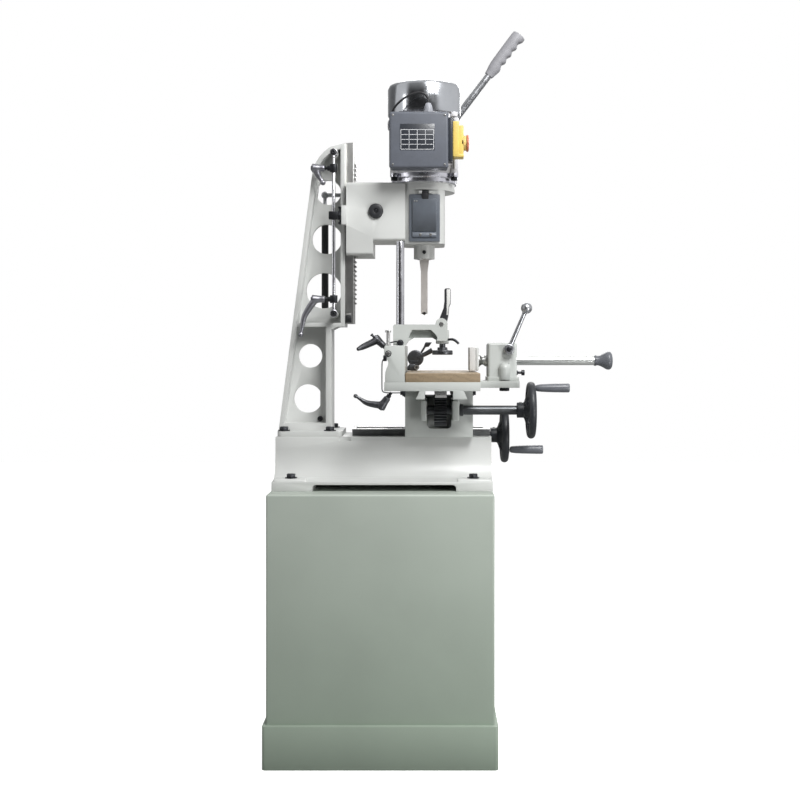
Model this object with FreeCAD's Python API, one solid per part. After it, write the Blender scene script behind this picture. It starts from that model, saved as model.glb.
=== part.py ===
import FreeCAD, Part
import math
import os

from FreeCAD import Placement, Rotation, Vector

# A hollow-chisel mortiser bolted on a closed sheet-metal stand, in millimetres.
# X points from the column to the operator's handwheels, Z is up, and the origin is
# the centre of the stand's footprint on the floor.

# Stand
plinth_half_x = 262.0
plinth_half_y = 228.0
plinth_height = 97.0
sheet = 3.0
floor_flange = 45.0
anchor_x = 238.0
anchor_y = 204.0
anchor_hole_r = 6.5
cabinet_half_x = 254.5
cabinet_half_y = 215.0
cabinet_top = 608.7

# Base casting and its way
base_x0 = -250.0
base_x1 = 254.0
base_half_y = 155.0
base_flange_top = 630.0
base_top = 727.0
base_neck_half_y = 80.0
base_bolt_x = (-208.0, 210.0)
base_bolt_y = 128.0
column_bolt_x = (-232.0, -124.0)
column_bolt_y = 62.0
bolt_hole_r = 6.2
pad_top = 636.0
way_top = 744.0
way_half_bottom = 42.0
way_half_top = 52.0
screw_z = 726.0
screw_r = 9.5

# Column, with the rack on its front
column_foot_top = 740.0
column_rim_half_y = 45.0
column_web_half_y = 6.0
column_top = 1420.0
way_root_x = -90.0
way_front_x = -71.0
way_low_z = 993.0
way_root_half_y = 38.0
way_front_half_y = 46.0
rack_module = 3.5
pinion_teeth = 30
pinion_x = -16.4
pinion_z = 1256.0
pinion_shaft_r = 12.0

# Head, spindle and motor
head_half_y = 65.0
spindle_x = 97.0
head_low_z = 1187.0
head_lobe_z = 1153.0
head_high_z = 1324.0
motor_low_z = 1346.0
motor_high_z = 1490.0
motor_r = 82.0
motor_wall = 3.0
cowl_r = 87.0
cowl_wall = 2.5
cowl_top_z = 1562.0
cowl_slots = 24
through_bolt_dx = 70.0
through_bolt_dy = 52.0
chisel_half = 8.0
chisel_tip_z = 1015.0
auger_r = 6.35
hinge_y = -70.0
hinge_z = 1300.0
hinge_pin_r = 2.0

# Depth stop and gas spring
stop_rod_x = -114.8
stop_rod_y = -70.0
stop_rod_r = 4.0
stop_rod_end_z = (1393.0, 1015.0)
upper_collar_z = 1355.7
lower_collar_z = 1049.0
gas_x = -146.0
gas_y = 58.0
gas_low_z = 767.0
gas_high_z = 1309.0
gas_rod_r = 4.0

# Feed lever, tilted from vertical towards the operator
lever_tilt = 37.3
lever_y = 120.0
lever_rod_r = 9.0
grip_start = 451.0
grip_end = 579.0
rod_end = 560.0

# Saddle, table and handwheels
saddle_x0 = 53.0
saddle_x1 = 210.0
saddle_half_y = 103.0
table_module = 2.5
table_pinion_teeth = 27
table_shaft_y = -116.0
table_shaft_z = 791.5
table_shaft_r = 10.6
table_x0 = 8.0
table_x1 = 223.0
table_half_y = 200.0
table_z0 = 838.0
table_z1 = 858.0
wood_x0 = 55.5
wood_top_z = 878.0
wheel_r = 65.5
wheel_grip_offset = 51.0
wheel_windows = 5
window_r = 38.0
window_half = 9.5
window_half_long = 14.5
grip_stud_r = 4.0

# Fence, hold-down and clamp
fence_front_x = 54.0
fence_top_z = 940.0
post_x = 42.5
post_y = -130.0
post_r = 9.3
foot_x = 139.0
cam_x = 136.7
cam_z = 989.0
clamp_z = 904.6
clamp_shaft_r = 11.0
clamp_hub_x = 296.7
clamp_hub_z = 931.7
plunger_r = 7.0
cam_pin_r = 4.0
clamp_pin_r = 6.0
lock_seat = (5.5, 938.6)
lock_axis = (-0.7365, 0, 0.6765)
lock_stud = 33.9
lever_stud_r = 3.5
work_stop_x = 75.0
work_stop_y = 108.0
work_stop_z = 909.8

# A sliding flat face keeps this gap, and a turning shaft this one
slide_gap = 0.3
run_gap = 0.05

# Switch box on the motor's near side
switch_y = -110.0
button_z = 1407.0
button_stem_r = 6.0
box_gland_x = 107.0

# The motor lead from the switch box to the motor's terminal boss
lead_r = 2.5
lead_route = [
    (107, -110, 1500), (107, -110, 1509), (103, -110, 1518), (94, -110, 1524), (82, -109, 1525),
    (64, -107, 1520), (46, -102, 1510), (31, -93, 1498), (22, -82, 1485), (20, -74, 1468),
]
terminal_x = 20.0
terminal_y = -74.0


def box(x0, x1, y0, y1, z0, z1):
    return Part.makeBox(x1 - x0, y1 - y0, z1 - z0, Vector(x0, y0, z0))


def rod(start, axis, r, length):
    return Part.makeCylinder(r, length, Vector(*start), Vector(*axis))


def cone(start, axis, r0, r1, length):
    return Part.makeCone(r0, r1, length, Vector(*start), Vector(*axis))


def ball(centre, r):
    return Part.makeSphere(r, Vector(*centre))


def join(first, *others):
    return first.multiFuse(list(others)).removeSplitter()


def polygon(points):
    corners = [Vector(*p) for p in points]
    return Part.Face(Part.makePolygon(corners + corners[:1]))


def prism_y(points_xz, y0, y1):
    face = polygon([(x, y0, z) for x, z in points_xz])
    return face.extrude(Vector(0, y1 - y0, 0))


def prism_x(points_yz, x0, x1):
    face = polygon([(x0, y, z) for y, z in points_yz])
    return face.extrude(Vector(x1 - x0, 0, 0))


def prism_z(points_xy, z0, z1):
    face = polygon([(x, y, z0) for x, y in points_xy])
    return face.extrude(Vector(0, 0, z1 - z0))


def turned(profile, centre, axis):
    """A solid of revolution from (along, radius) pairs, about axis through centre."""
    face = polygon([(radius, 0, along) for along, radius in profile])
    solid = face.revolve(Vector(0, 0, 0), Vector(0, 0, 1), 360)
    turn = Rotation(Vector(0, 0, 1), Vector(*axis))
    solid.Placement = Placement(Vector(*centre), turn)
    return solid


def round_edges(shape, r, wanted):
    edges = [edge for edge in shape.Edges if wanted(edge)]
    return shape.makeFillet(r, edges)


def runs_along(edge, axis):
    if not isinstance(edge.Curve, Part.Line):
        return False
    return abs(edge.tangentAt(edge.FirstParameter).dot(Vector(*axis))) > 0.999


def upright(edge):
    return runs_along(edge, (0, 0, 1))


def hexagon(centre, axis, across_flats, length):
    corner = across_flats / math.sqrt(3)
    points = []
    for k in range(6):
        angle = math.radians(60 * k)
        points.append((corner * math.cos(angle), corner * math.sin(angle)))
    solid = prism_z(points, 0, length)
    solid.Placement = Placement(Vector(*centre), Rotation(Vector(0, 0, 1), Vector(*axis)))
    return solid


def gear(module, teeth, thickness, backlash):
    """An involute spur gear about Z with one tooth centred on +X, its back face at z 0."""
    pressure = math.radians(20)
    pitch_r = module * teeth / 2
    base_r = pitch_r * math.cos(pressure)
    tip_r = pitch_r + module
    root_r = pitch_r - 1.25 * module
    half_angle = math.pi / (2 * teeth) - backlash / (2 * pitch_r)
    at_pitch = math.tan(pressure) - pressure
    flank = []
    start_r = max(base_r, root_r)
    for k in range(4):
        r = start_r + (tip_r - start_r) * k / 3
        roll = math.acos(base_r / r)
        flank.append((r, half_angle + at_pitch - (math.tan(roll) - roll)))
    points = []
    for tooth in range(teeth):
        middle = 2 * math.pi * tooth / teeth
        points.append((root_r, middle - flank[0][1] - 0.01))
        points.extend((r, middle - angle) for r, angle in flank)
        points.extend((r, middle + angle) for r, angle in reversed(flank))
        points.append((root_r, middle + flank[0][1] + 0.01))
    outline = [(r * math.cos(a), r * math.sin(a)) for r, a in points]
    return prism_z(outline, 0, thickness)


def rack_outline(module, low, high, space_at, backlash):
    """Points (along, height) of a rack's tooth line, height 0 on the pitch line."""
    pressure = math.tan(math.radians(20))
    pitch = math.pi * module
    half = pitch / 4 - backlash / 2
    first = math.ceil((low - space_at) / pitch + 0.2)
    last = math.floor((high - space_at) / pitch - 1.2)
    points = []
    for n in range(first, last + 1):
        middle = space_at + (n + 0.5) * pitch
        points.append((middle - half - 1.25 * module * pressure, -1.25 * module))
        points.append((middle - half + module * pressure, module))
        points.append((middle + half - module * pressure, module))
        points.append((middle + half + 1.25 * module * pressure, -1.25 * module))
    return points


def save(name, *solids):
    shape = solids[0] if len(solids) == 1 else Part.makeCompound(list(solids))
    bad = "" if shape.isValid() else " NOT VALID"
    b = shape.BoundBox
    print(f"{name:22s} {len(shape.Solids)} {shape.Volume / 1000:9.1f} cm3 "
          f"x {b.XMin:.0f}..{b.XMax:.0f} y {b.YMin:.0f}..{b.YMax:.0f} "
          f"z {b.ZMin:.0f}..{b.ZMax:.0f}{bad}")
    shape.exportStep(f"parts/{name}.step")


# Stand

def plinth():
    shell = round_edges(
        box(-plinth_half_x, plinth_half_x, -plinth_half_y, plinth_half_y, 0, plinth_height),
        8, upright)
    inside_x = plinth_half_x - sheet
    inside_y = plinth_half_y - sheet
    shell = shell.cut(box(-inside_x, inside_x, -inside_y, inside_y, sheet, plinth_height - sheet))
    hole_x = plinth_half_x - floor_flange
    hole_y = plinth_half_y - floor_flange
    shell = shell.cut(box(-hole_x, hole_x, -hole_y, hole_y, -1, plinth_height + 1))
    for x in (-anchor_x, anchor_x):
        for y in (-anchor_y, anchor_y):
            shell = shell.cut(rod((x, y, -1), (0, 0, 1), anchor_hole_r, sheet + 2))
    return shell


def cabinet_shell():
    body = box(-cabinet_half_x, cabinet_half_x, -cabinet_half_y, cabinet_half_y,
               plinth_height, cabinet_top)
    body = round_edges(body, 5, lambda e: upright(e) or e.BoundBox.ZMin > cabinet_top - 1)
    inside_x = cabinet_half_x - sheet
    inside_y = cabinet_half_y - sheet
    body = body.cut(box(-inside_x, inside_x, -inside_y, inside_y,
                        plinth_height - 1, cabinet_top - sheet))
    body = body.cut(box(-cabinet_half_x - 1, -inside_x + 1, -165, 165, 150, 560))
    for x in base_bolt_x:
        for y in (-base_bolt_y, base_bolt_y):
            body = body.cut(rod((x, y, cabinet_top - 5), (0, 0, 1), 6.5, 10))
    return body


def access_panel():
    panel = box(-cabinet_half_x - 2, -cabinet_half_x, -180, 180, 135, 575)
    panel = round_edges(panel, 10, lambda e: runs_along(e, (1, 0, 0)))
    for y in (-170, 170):
        for z in (146, 355, 564):
            panel = panel.cut(rod((-cabinet_half_x - 3, y, z), (1, 0, 0), 2.6, 4))
    return panel


def hex_bolt(x, y, seat_z, shank):
    washer = rod((x, y, seat_z), (0, 0, 1), 14, 2.5)
    head = hexagon((x, y, seat_z + 2.5), (0, 0, 1), 19, 8)
    stem = rod((x, y, seat_z - shank), (0, 0, 1), 6, shank + 2.5)
    return join(washer, head, stem)


def frame_bolts():
    bolts = []
    for x in base_bolt_x:
        for y in (-base_bolt_y, base_bolt_y):
            bolts.append(hex_bolt(x, y, pad_top, 34))
    for x in column_bolt_x:
        for y in (-column_bolt_y, column_bolt_y):
            bolts.append(hex_bolt(x, y, column_foot_top, 30))
    return bolts


def base_casting():
    low = cabinet_top
    section = [
        (-base_half_y, low), (-base_half_y, base_flange_top), (-118, base_flange_top + 3),
        (-97, 645), (-84, 668), (-base_neck_half_y, 700), (-base_neck_half_y, base_top),
        (base_neck_half_y, base_top), (base_neck_half_y, 700), (84, 668), (97, 645),
        (118, base_flange_top + 3), (base_half_y, base_flange_top), (base_half_y, low),
    ]
    body = prism_x(section, base_x0, base_x1)
    body = round_edges(
        body, 14, lambda e: upright(e) and e.BoundBox.ZMin < low + 1 and e.BoundBox.ZMax < 632)
    for x0, x1 in ((base_x0 + 3, -171), (172, base_x1 - 3)):
        for side in (-1, 1):
            y0, y1 = sorted((side * 102, side * (base_half_y - 3)))
            pad = round_edges(box(x0, x1, y0, y1, base_flange_top - 5, pad_top), 6, upright)
            body = body.fuse(pad)
    way = prism_x(
        [(-way_half_bottom, base_top - 3), (-way_half_bottom, base_top), (-way_half_top, way_top),
         (way_half_top, way_top), (way_half_bottom, base_top), (way_half_bottom, base_top - 3)],
        -73, 252)
    body = body.fuse(way)
    body = body.cut(box(base_x0 + 14, base_x1 - 14, -66, 66, low - 1, 694))
    body = body.cut(box(-65, 238, -22, 22, 708, way_top + 1))
    body = body.cut(rod((230, 0, screw_z), (1, 0, 0), screw_r + run_gap, 40))
    slot = round_edges(box(-157, 170, -base_half_y - 1, -60, low - 8, 623.4), 8,
                       lambda e: runs_along(e, (0, 1, 0)) and e.BoundBox.ZMin > 620)
    body = body.cut(slot)
    body = body.cut(box(-102, -74, -base_neck_half_y - 1, -71, 718, base_top + 1))
    for x in base_bolt_x:
        for y in (-base_bolt_y, base_bolt_y):
            body = body.cut(rod((x, y, low - 1), (0, 0, 1), bolt_hole_r, 40))
    for x in column_bolt_x:
        for y in (-column_bolt_y, column_bolt_y):
            body = body.cut(rod((x, y, 705), (0, 0, 1), 6, 30))
    return body.removeSplitter()


# Column

def back_edge_x(z):
    low_x, low_z, high_x, high_z = -247.0, column_foot_top, -168.0, 1343.4
    return low_x + (high_x - low_x) * (z - low_z) / (high_z - low_z)


def column_side(inset, low_z, high_front_x, arc_drop):
    """The column's side outline from low_z up, moved in by inset from the back and the top."""
    start = Vector(back_edge_x(low_z) + inset, 0, low_z)
    shoulder = Vector(-168.0 + inset, 0, 1343.4)
    bend = Vector(-154.3 + inset * 0.9, 0, 1381.2 - inset * 0.5)
    crown = Vector(-125.5 + inset * 0.5, 0, 1409.6 - inset * 0.9)
    tip = Vector(high_front_x, 0, column_top - arc_drop)
    foot = Vector(high_front_x, 0, low_z)
    edges = [
        Part.LineSegment(start, shoulder).toShape(),
        Part.Arc(shoulder, bend, crown).toShape(),
        Part.LineSegment(crown, tip).toShape(),
        Part.LineSegment(tip, foot).toShape(),
        Part.LineSegment(foot, start).toShape(),
    ]
    return Part.Face(Part.Wire(edges))


def through_y(face, half_y):
    moved = face.copy()
    moved.translate(Vector(0, -half_y, 0))
    return moved.extrude(Vector(0, 2 * half_y, 0))


def column_casting():
    body = through_y(column_side(0, column_foot_top - 4, way_root_x, 0), column_rim_half_y)
    lower_front = prism_y(
        [(-122, column_foot_top - 10), (-122, 978), (-108, 985), (-60, 985), (-60, column_foot_top - 10)],
        -60, 60)
    body = body.cut(lower_front)
    upper_pocket = column_side(11, 994, -100.5, 14).extrude(Vector(0, 40, 0))
    lower_pocket = prism_y(
        [(back_edge_x(757) + 11, 757), (back_edge_x(985) + 11, 985), (-135.4, 985), (-135.4, 757)],
        0, 40)
    for side in (-1, 1):
        offset = column_web_half_y if side > 0 else -column_web_half_y - 40
        for pocket in (upper_pocket, lower_pocket):
            cutter = pocket.copy()
            cutter.translate(Vector(0, offset, 0))
            body = body.cut(cutter)
    holes = ((-131.8, 1307, 29.5), (-135.9, 1195.1, 35.5), (-143.1, 1072, 42.5), (-175.7, 916.1, 28.3))
    for x, z, r in holes:
        body = body.cut(rod((x, -20, z), (0, 1, 0), r, 40))
    lowest = rod((-181.4, -20, 813.8), (0, 1, 0), 34, 40)
    body = body.cut(lowest.cut(box(-152, -140, -30, 30, 770, 860)))
    way = prism_z(
        [(way_root_x - 2, -way_root_half_y), (way_root_x, -way_root_half_y),
         (way_front_x, -way_front_half_y), (way_front_x, way_front_half_y),
         (way_root_x, way_root_half_y), (way_root_x - 2, way_root_half_y)],
        way_low_z, column_top)
    body = body.fuse(way)
    body = body.cut(box(-84, way_front_x + 1, -12, 12, way_low_z - 1, column_top - 20))
    foot = round_edges(box(-247, -95, -75, 75, base_top, column_foot_top), 12, upright)
    body = body.fuse(foot)
    for z in stop_rod_end_z:
        body = body.fuse(rod((stop_rod_x, -62, z), (0, 1, 0), 8.5, 58))
        body = body.cut(rod((stop_rod_x, -63, z), (0, 1, 0), 3, 25))
    body = body.fuse(rod((gas_x, 4, gas_low_z), (0, 1, 0), 9.5, 45))
    body = body.cut(rod((gas_x, 34, gas_low_z), (0, 1, 0), 3, 20))
    for x in column_bolt_x:
        for y in (-column_bolt_y, column_bolt_y):
            body = body.cut(rod((x, y, base_top - 1), (0, 0, 1), bolt_hole_r, 20))
    return body.removeSplitter()


def column_rack():
    pitch_x = pinion_x - rack_module * pinion_teeth / 2
    line = rack_outline(rack_module, 1026, 1386, pinion_z, 0.25)
    points = [(-84, 1026), (pitch_x - 1.25 * rack_module, 1026)]
    points += [(pitch_x + height, z) for z, height in line]
    points += [(pitch_x - 1.25 * rack_module, 1386), (-84, 1386)]
    return prism_y(points, -11.8, 11.8)


def stop_rod():
    stem = rod((stop_rod_x, stop_rod_y, 1021), (0, 0, 1), stop_rod_r, 366)
    parts = [stem]
    for z in stop_rod_end_z:
        parts.append(rod((stop_rod_x, -76, z), (0, 1, 0), 9.5, 13.7))
        parts.append(rod((stop_rod_x, -80, z), (0, 1, 0), 5.5, 5))
        parts.append(rod((stop_rod_x, -66, z), (0, 1, 0), 2.9, 24))
    return join(*parts)


def stop_collar(z):
    body = rod((stop_rod_x, stop_rod_y, z - 9), (0, 0, 1), 9, 18)
    boss = rod((stop_rod_x, stop_rod_y, z), (-1, 0, 0), 6, 15)
    return join(body, boss).cut(rod((stop_rod_x, stop_rod_y, z - 10), (0, 0, 1), stop_rod_r + run_gap, 20))


def clamping_lever(start, axis, stud, tip):
    """A die-cast clamping lever: a stud, a hub that widens along axis, and an arm with a ball end."""
    along = Vector(*axis).normalize()
    seat = Vector(*start) + along * stud
    crown = seat + along * 30
    target = Vector(*tip)
    knee = seat + along * 22
    reach = target - knee
    parts = [
        Part.makeCylinder(lever_stud_r, stud + 2, Vector(*start), along),
        Part.makeCone(7, 10.5, 30, seat, along),
        Part.makeSphere(9, crown - along * 4),
        Part.makeCone(8, 4.5, reach.Length, knee, reach),
        Part.makeSphere(7, target),
    ]
    return parts[0].multiFuse(parts[1:])


def collar_lever(z, tip):
    return clamping_lever((stop_rod_x - 15.2, stop_rod_y, z), (-1, 0, 0), 6, tip)


def gas_spring_rod():
    eye = rod((gas_x, 49.2, gas_low_z), (0, 1, 0), 9, 17)
    bolt = rod((gas_x, 36, gas_low_z), (0, 1, 0), 2.9, 20)
    cap = rod((gas_x, 66, gas_low_z), (0, 1, 0), 5.5, 4)
    stem = rod((gas_x, gas_y, gas_low_z + 7), (0, 0, 1), gas_rod_r, 366)
    piston = rod((gas_x, gas_y, 1140), (0, 0, 1), 6.42, 10)
    return join(eye, bolt, cap, stem, piston)


def gas_spring_cylinder():
    tube = rod((gas_x, gas_y, 1032), (0, 0, 1), 8.5, 240)
    neck = rod((gas_x, gas_y, 1270), (0, 0, 1), 4.5, 32)
    eye = ball((gas_x, gas_y, gas_high_z), 9)
    stud = rod((gas_x, gas_y, gas_high_z), (1, 0, 0), 5, -86 - gas_x)
    nut = hexagon((-99, gas_y, gas_high_z), (1, 0, 0), 13, 13)
    body = join(tube, neck, eye, stud, nut)
    body = body.cut(rod((gas_x, gas_y, 1031), (0, 0, 1), gas_rod_r + run_gap, 20))
    return body.cut(rod((gas_x, gas_y, 1044), (0, 0, 1), 6.5, 220))


# Head

def head_casting():
    main = box(-86, 52, -head_half_y, head_half_y, head_low_z, head_high_z)
    main = round_edges(main, 7, lambda e: runs_along(e, (1, 0, 0)))
    lobe = round_edges(box(-86, -23.3, -head_half_y, head_half_y, head_lobe_z, head_low_z + 20), 7,
                       lambda e: runs_along(e, (1, 0, 0)) and e.BoundBox.ZMax < head_lobe_z + 1)
    spindle_box = round_edges(box(46, 146, -head_half_y + 1, head_half_y - 1, 1180, 1315), 20, upright)
    flange = rod((spindle_x, 0, 1306), (0, 0, 1), 73, 19)
    boss = rod((spindle_x, 0, 1148), (0, 0, 1), 25, 40)
    lever_boss = rod((pinion_x, head_half_y - 5, pinion_z), (0, 1, 0), 25, 42)
    lug = box(-96, -85, -84, -50, 1223, 1267)
    hinge_ears = [rod((x, hinge_y, hinge_z), (1, 0, 0), 4, 7.5) for x in (84, 108.5)]
    hinge_webs = [box(x, x + 7.5, hinge_y, -62, hinge_z - 3, hinge_z + 3) for x in (84, 108.5)]
    hinge_pin = rod((85, hinge_y, hinge_z), (1, 0, 0), hinge_pin_r, 30)
    body = join(main, lobe, spindle_box, flange, boss, lever_boss, lug,
                *hinge_ears, *hinge_webs, hinge_pin)

    def flank(x):
        slope = (way_front_half_y - way_root_half_y) / (way_front_x - way_root_x)
        return way_root_half_y + slope * (x - way_root_x) + slide_gap + 0.1

    front = way_front_x + slide_gap
    dovetail = prism_z([(-87, -flank(-87)), (front, -flank(front)), (front, flank(front)),
                        (-87, flank(-87))], head_lobe_z - 1, head_high_z + 1)
    body = body.cut(dovetail)
    body = body.cut(box(front - 1, -62, -16, 16, head_lobe_z - 1, head_high_z + 1))
    body = body.cut(rod((pinion_x, -14, pinion_z), (0, 1, 0), 58.5, 28))
    body = body.cut(box(-75, pinion_x, -14, 14, pinion_z - 58.5, pinion_z + 58.5))
    body = body.cut(rod((pinion_x, -70, pinion_z), (0, 1, 0), pinion_shaft_r + run_gap, 180))
    body = body.cut(rod((spindle_x, 0, 1196), (0, 0, 1), 38, 140))
    body = body.cut(box(66, 128, -70, 0, 1202, 1290))
    body = body.cut(rod((spindle_x, 0, 1140), (0, 0, 1), 14.25, 60))
    return body.removeSplitter()


def stop_lug():
    front_block = box(-126, -104, -80, -60, 1236, 1254)
    neck = rod((-106, stop_rod_y, 1245), (1, 0, 0), 6, 9.9)
    back_block = hexagon((-104, stop_rod_y, 1245), (1, 0, 0), 20, 7.9)
    lug = join(front_block, neck, back_block)
    return lug.cut(rod((stop_rod_x, stop_rod_y, 1230), (0, 0, 1), stop_rod_r + run_gap, 30))


def motor_bolt_places():
    return [(spindle_x + sx * through_bolt_dx, sy * through_bolt_dy) for sx in (-1, 1) for sy in (-1, 1)]


def motor_body():
    shell = rod((spindle_x, 0, motor_low_z), (0, 0, 1), motor_r, motor_high_z - motor_low_z)
    pad = box(55, 139, -83, -60, 1372, 1452)
    terminal = box(terminal_x - 8, terminal_x + 26, terminal_y - 8, terminal_y + 26, 1448, 1462)
    parts = [pad, terminal]
    for x, y in motor_bolt_places():
        for z in (motor_low_z, motor_high_z - 10):
            ear = rod((x, y, z), (0, 0, 1), 9, 10)
            web = prism_z([(x * 0.72 + spindle_x * 0.28, y * 0.72 - 9), (x, y - 8), (x, y + 8),
                           (x * 0.72 + spindle_x * 0.28, y * 0.72 + 9)], z, z + 10)
            parts += [ear, web]
    body = shell.multiFuse(parts)
    body = body.cut(rod((spindle_x, 0, motor_low_z - 1), (0, 0, 1), motor_r - motor_wall, 200))
    for x, y in motor_bolt_places():
        body = body.cut(rod((x, y, 1340), (0, 0, 1), 4.3, 170))
    return body.removeSplitter()


def motor_stator():
    ring = rod((spindle_x, 0, 1372), (0, 0, 1), motor_r - motor_wall, 82)
    coil_low = rod((spindle_x, 0, 1358), (0, 0, 1), 72, 110)
    bore = rod((spindle_x, 0, 1350), (0, 0, 1), 50, 130)
    return join(ring, coil_low).cut(bore)


def motor_end_bell():
    profile = [(1325, 9.05), (1325, 76), (1336, 77), (1346, 78), (1346, 9.05)]
    return turned(profile, (spindle_x, 0, 0), (0, 0, 1))


def fan_cowl():
    top, low, wall = cowl_top_z, motor_high_z, cowl_wall
    outer = [(low, cowl_r - 3), (low, cowl_r), (top - 10, cowl_r), (top - 3, cowl_r - 3),
             (top, cowl_r - 11), (top, 20), (top - wall, 20), (top - wall, cowl_r - 12),
             (top - 5, cowl_r - 5), (top - 11, cowl_r - wall), (low + wall, cowl_r - wall),
             (low + wall, 60), (low, 60)]
    cowl = turned(outer, (spindle_x, 0, 0), (0, 0, 1))
    for k in range(cowl_slots):
        slot = box(34, 68, -2, 2, top - 9, top + 6)
        slot.rotate(Vector(0, 0, 0), Vector(0, 0, 1), 360 / cowl_slots * k)
        slot.translate(Vector(spindle_x, 0, 0))
        cowl = cowl.cut(slot)
    return cowl


def motor_bolts():
    bolts = []
    for x, y in motor_bolt_places():
        nut = hexagon((x, y, 1336), (0, 0, 1), 13, 10)
        stem = rod((x, y, 1330), (0, 0, 1), 4, 160)
        bolts.append(join(nut, stem))
    return bolts


def switch_box():
    body = box(17, 153, -137, -83, 1346, 1476)
    body = round_edges(body, 7, lambda e: runs_along(e, (0, 1, 0)) or e.BoundBox.YMax < -136)
    body = body.cut(box(20, 150, -134, -86, 1349, 1473))
    return body.cut(rod((box_gland_x, switch_y, 1470), (0, 0, 1), 8, 10))


def switch_housing():
    plate = round_edges(box(153, 163, -134, -86, 1364, 1463), 5, lambda e: runs_along(e, (1, 0, 0)))
    cover = round_edges(box(163, 177, -130, -90, 1373, 1453), 5, lambda e: runs_along(e, (1, 0, 0)))
    step = round_edges(box(177, 188, -127, -93, 1382, 1438), 5, lambda e: runs_along(e, (1, 0, 0)))
    body = join(plate, cover, step)
    return body.cut(rod((168, switch_y, button_z), (1, 0, 0), button_stem_r + run_gap, 30))


def stop_button():
    stem = rod((176, switch_y, button_z), (1, 0, 0), button_stem_r, 18)
    cap = turned([(193, 0), (193, 17), (195, 20), (198, 20), (200.6, 16), (200.6, 0)],
                 (0, switch_y, button_z), (1, 0, 0))
    return join(stem, cap)


def tube_on_route(points, r):
    """A round tube along straight runs joined by tangent arcs, made run by run."""
    corners = [Vector(*p) for p in points]
    start = corners[0]
    length = 0
    pieces = []
    for before, here, after in zip(corners, corners[1:], corners[2:]):
        a = before - here
        b = after - here
        turn = math.pi - a.getAngle(b)
        cut_back = 0.45 * min(a.Length, b.Length)
        radius = cut_back / math.tan(turn / 2)
        first = here + a * (cut_back / a.Length)
        run = first - start
        pieces.append(Part.makeCylinder(r, run.Length, start, run))
        hinge = b.cross(a).normalize()
        centre = first + hinge.cross(a).normalize() * -radius
        disc = Part.Face(Part.Wire(Part.makeCircle(r, first, a)))
        pieces.append(disc.revolve(centre, hinge * -1, -math.degrees(turn)))
        start = here + b * (cut_back / b.Length)
        length += run.Length + radius * turn
        print(f"  lead radius {radius:.1f} mm")
    run = corners[-1] - start
    pieces.append(Part.makeCylinder(r, run.Length, start, run))
    length += run.Length
    tube = pieces[0].multiFuse(pieces[1:])
    ratio = tube.Volume / (math.pi * r * r * length)
    print(f"  lead length {length:.0f} mm, volume ratio {ratio:.4f}")
    return tube


def lead_glands():
    bore = lead_r + 0.1
    box_gland = turned([(1473, bore), (1473, 7.9), (1476, 7.9), (1476, 12), (1483, 12), (1483, 10),
                        (1496, 8), (1500, 6), (1500, bore)], (box_gland_x, switch_y, 0), (0, 0, 1))
    motor_gland = turned([(1462, bore), (1462, 7), (1466, 7), (1468, 5), (1468, bore)],
                         (terminal_x, terminal_y, 0), (0, 0, 1))
    return [box_gland, motor_gland]


def motor_lead():
    return tube_on_route(lead_route, lead_r)


def chisel_bush():
    return turned([(1146, 9.55), (1146, 16.5), (1148, 16.5), (1148, 14.2), (1192, 14.2), (1192, 9.55)],
                  (spindle_x, 0, 0), (0, 0, 1))


def square(half, z):
    x = spindle_x
    corners = [(x - half, -half, z), (x + half, -half, z), (x + half, half, z), (x - half, half, z)]
    return Part.makePolygon([Vector(*p) for p in corners + corners[:1]])


def hollow_chisel():
    blade = box(spindle_x - chisel_half, spindle_x + chisel_half, -chisel_half, chisel_half,
                chisel_tip_z, 1117)
    shoulder = Part.makeLoft([square(chisel_half, 1117), square(11.6, 1146)], True, True)
    shank = rod((spindle_x, 0, 1145.5), (0, 0, 1), 9.5, 45)
    body = join(blade, shoulder, shank)
    body = body.cut(rod((spindle_x, 0, 1000), (0, 0, 1), 6.75, 200))
    body = body.cut(cone((spindle_x, 0, chisel_tip_z - 1), (0, 0, 1), 12.5, 5.5, 11))
    return body.cut(box(spindle_x - 4.5, spindle_x + 4.5, 0, 13, 1045, 1128))


def spindle_cover():
    panel = round_edges(box(62, 134, -69, -65.3, 1184, 1295), 4, lambda e: runs_along(e, (0, 1, 0)))
    raised = round_edges(box(69, 126, -73, -68, 1194, 1285), 4, lambda e: runs_along(e, (0, 1, 0)))
    knuckle = rod((92.2, hinge_y, hinge_z), (1, 0, 0), 4.2, 15.6)
    tab = box(92.2, 107.8, -72, -66.5, 1290, 1300)
    body = join(panel, raised, knuckle, tab)
    return body.cut(rod((90, hinge_y, hinge_z), (1, 0, 0), hinge_pin_r + run_gap, 20))


def motor_rotor():
    return turned([(1285, 0), (1285, 9), (1372, 9), (1372, 49.4), (1454, 49.4), (1454, 9),
                   (1537, 9), (1537, 0)], (spindle_x, 0, 0), (0, 0, 1))


def cooling_fan():
    hub = turned([(1500, 9), (1500, 16), (1535, 16), (1535, 9)], (spindle_x, 0, 0), (0, 0, 1))
    disc = turned([(1500, 15), (1500, 74), (1503, 74), (1503, 15)], (spindle_x, 0, 0), (0, 0, 1))
    blades = []
    for k in range(8):
        blade = box(15, 73, -1.2, 1.2, 1501, 1534)
        blade.rotate(Vector(0, 0, 0), Vector(0, 0, 1), 45 * k)
        blade.translate(Vector(spindle_x, 0, 0))
        blades.append(blade)
    return join(hub, disc, *blades)


def drill_chuck():
    body = turned([(1203, auger_r + run_gap), (1203, 9), (1220, 17), (1222, 18.5), (1262, 18.5), (1264, 20.5),
                   (1281, 20.5), (1283, 18), (1292, 18), (1292, 9), (1285, 9), (1285, 0), (1262, 0),
                   (1262, auger_r + run_gap)], (spindle_x, 0, 0), (0, 0, 1))
    return body


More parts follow.
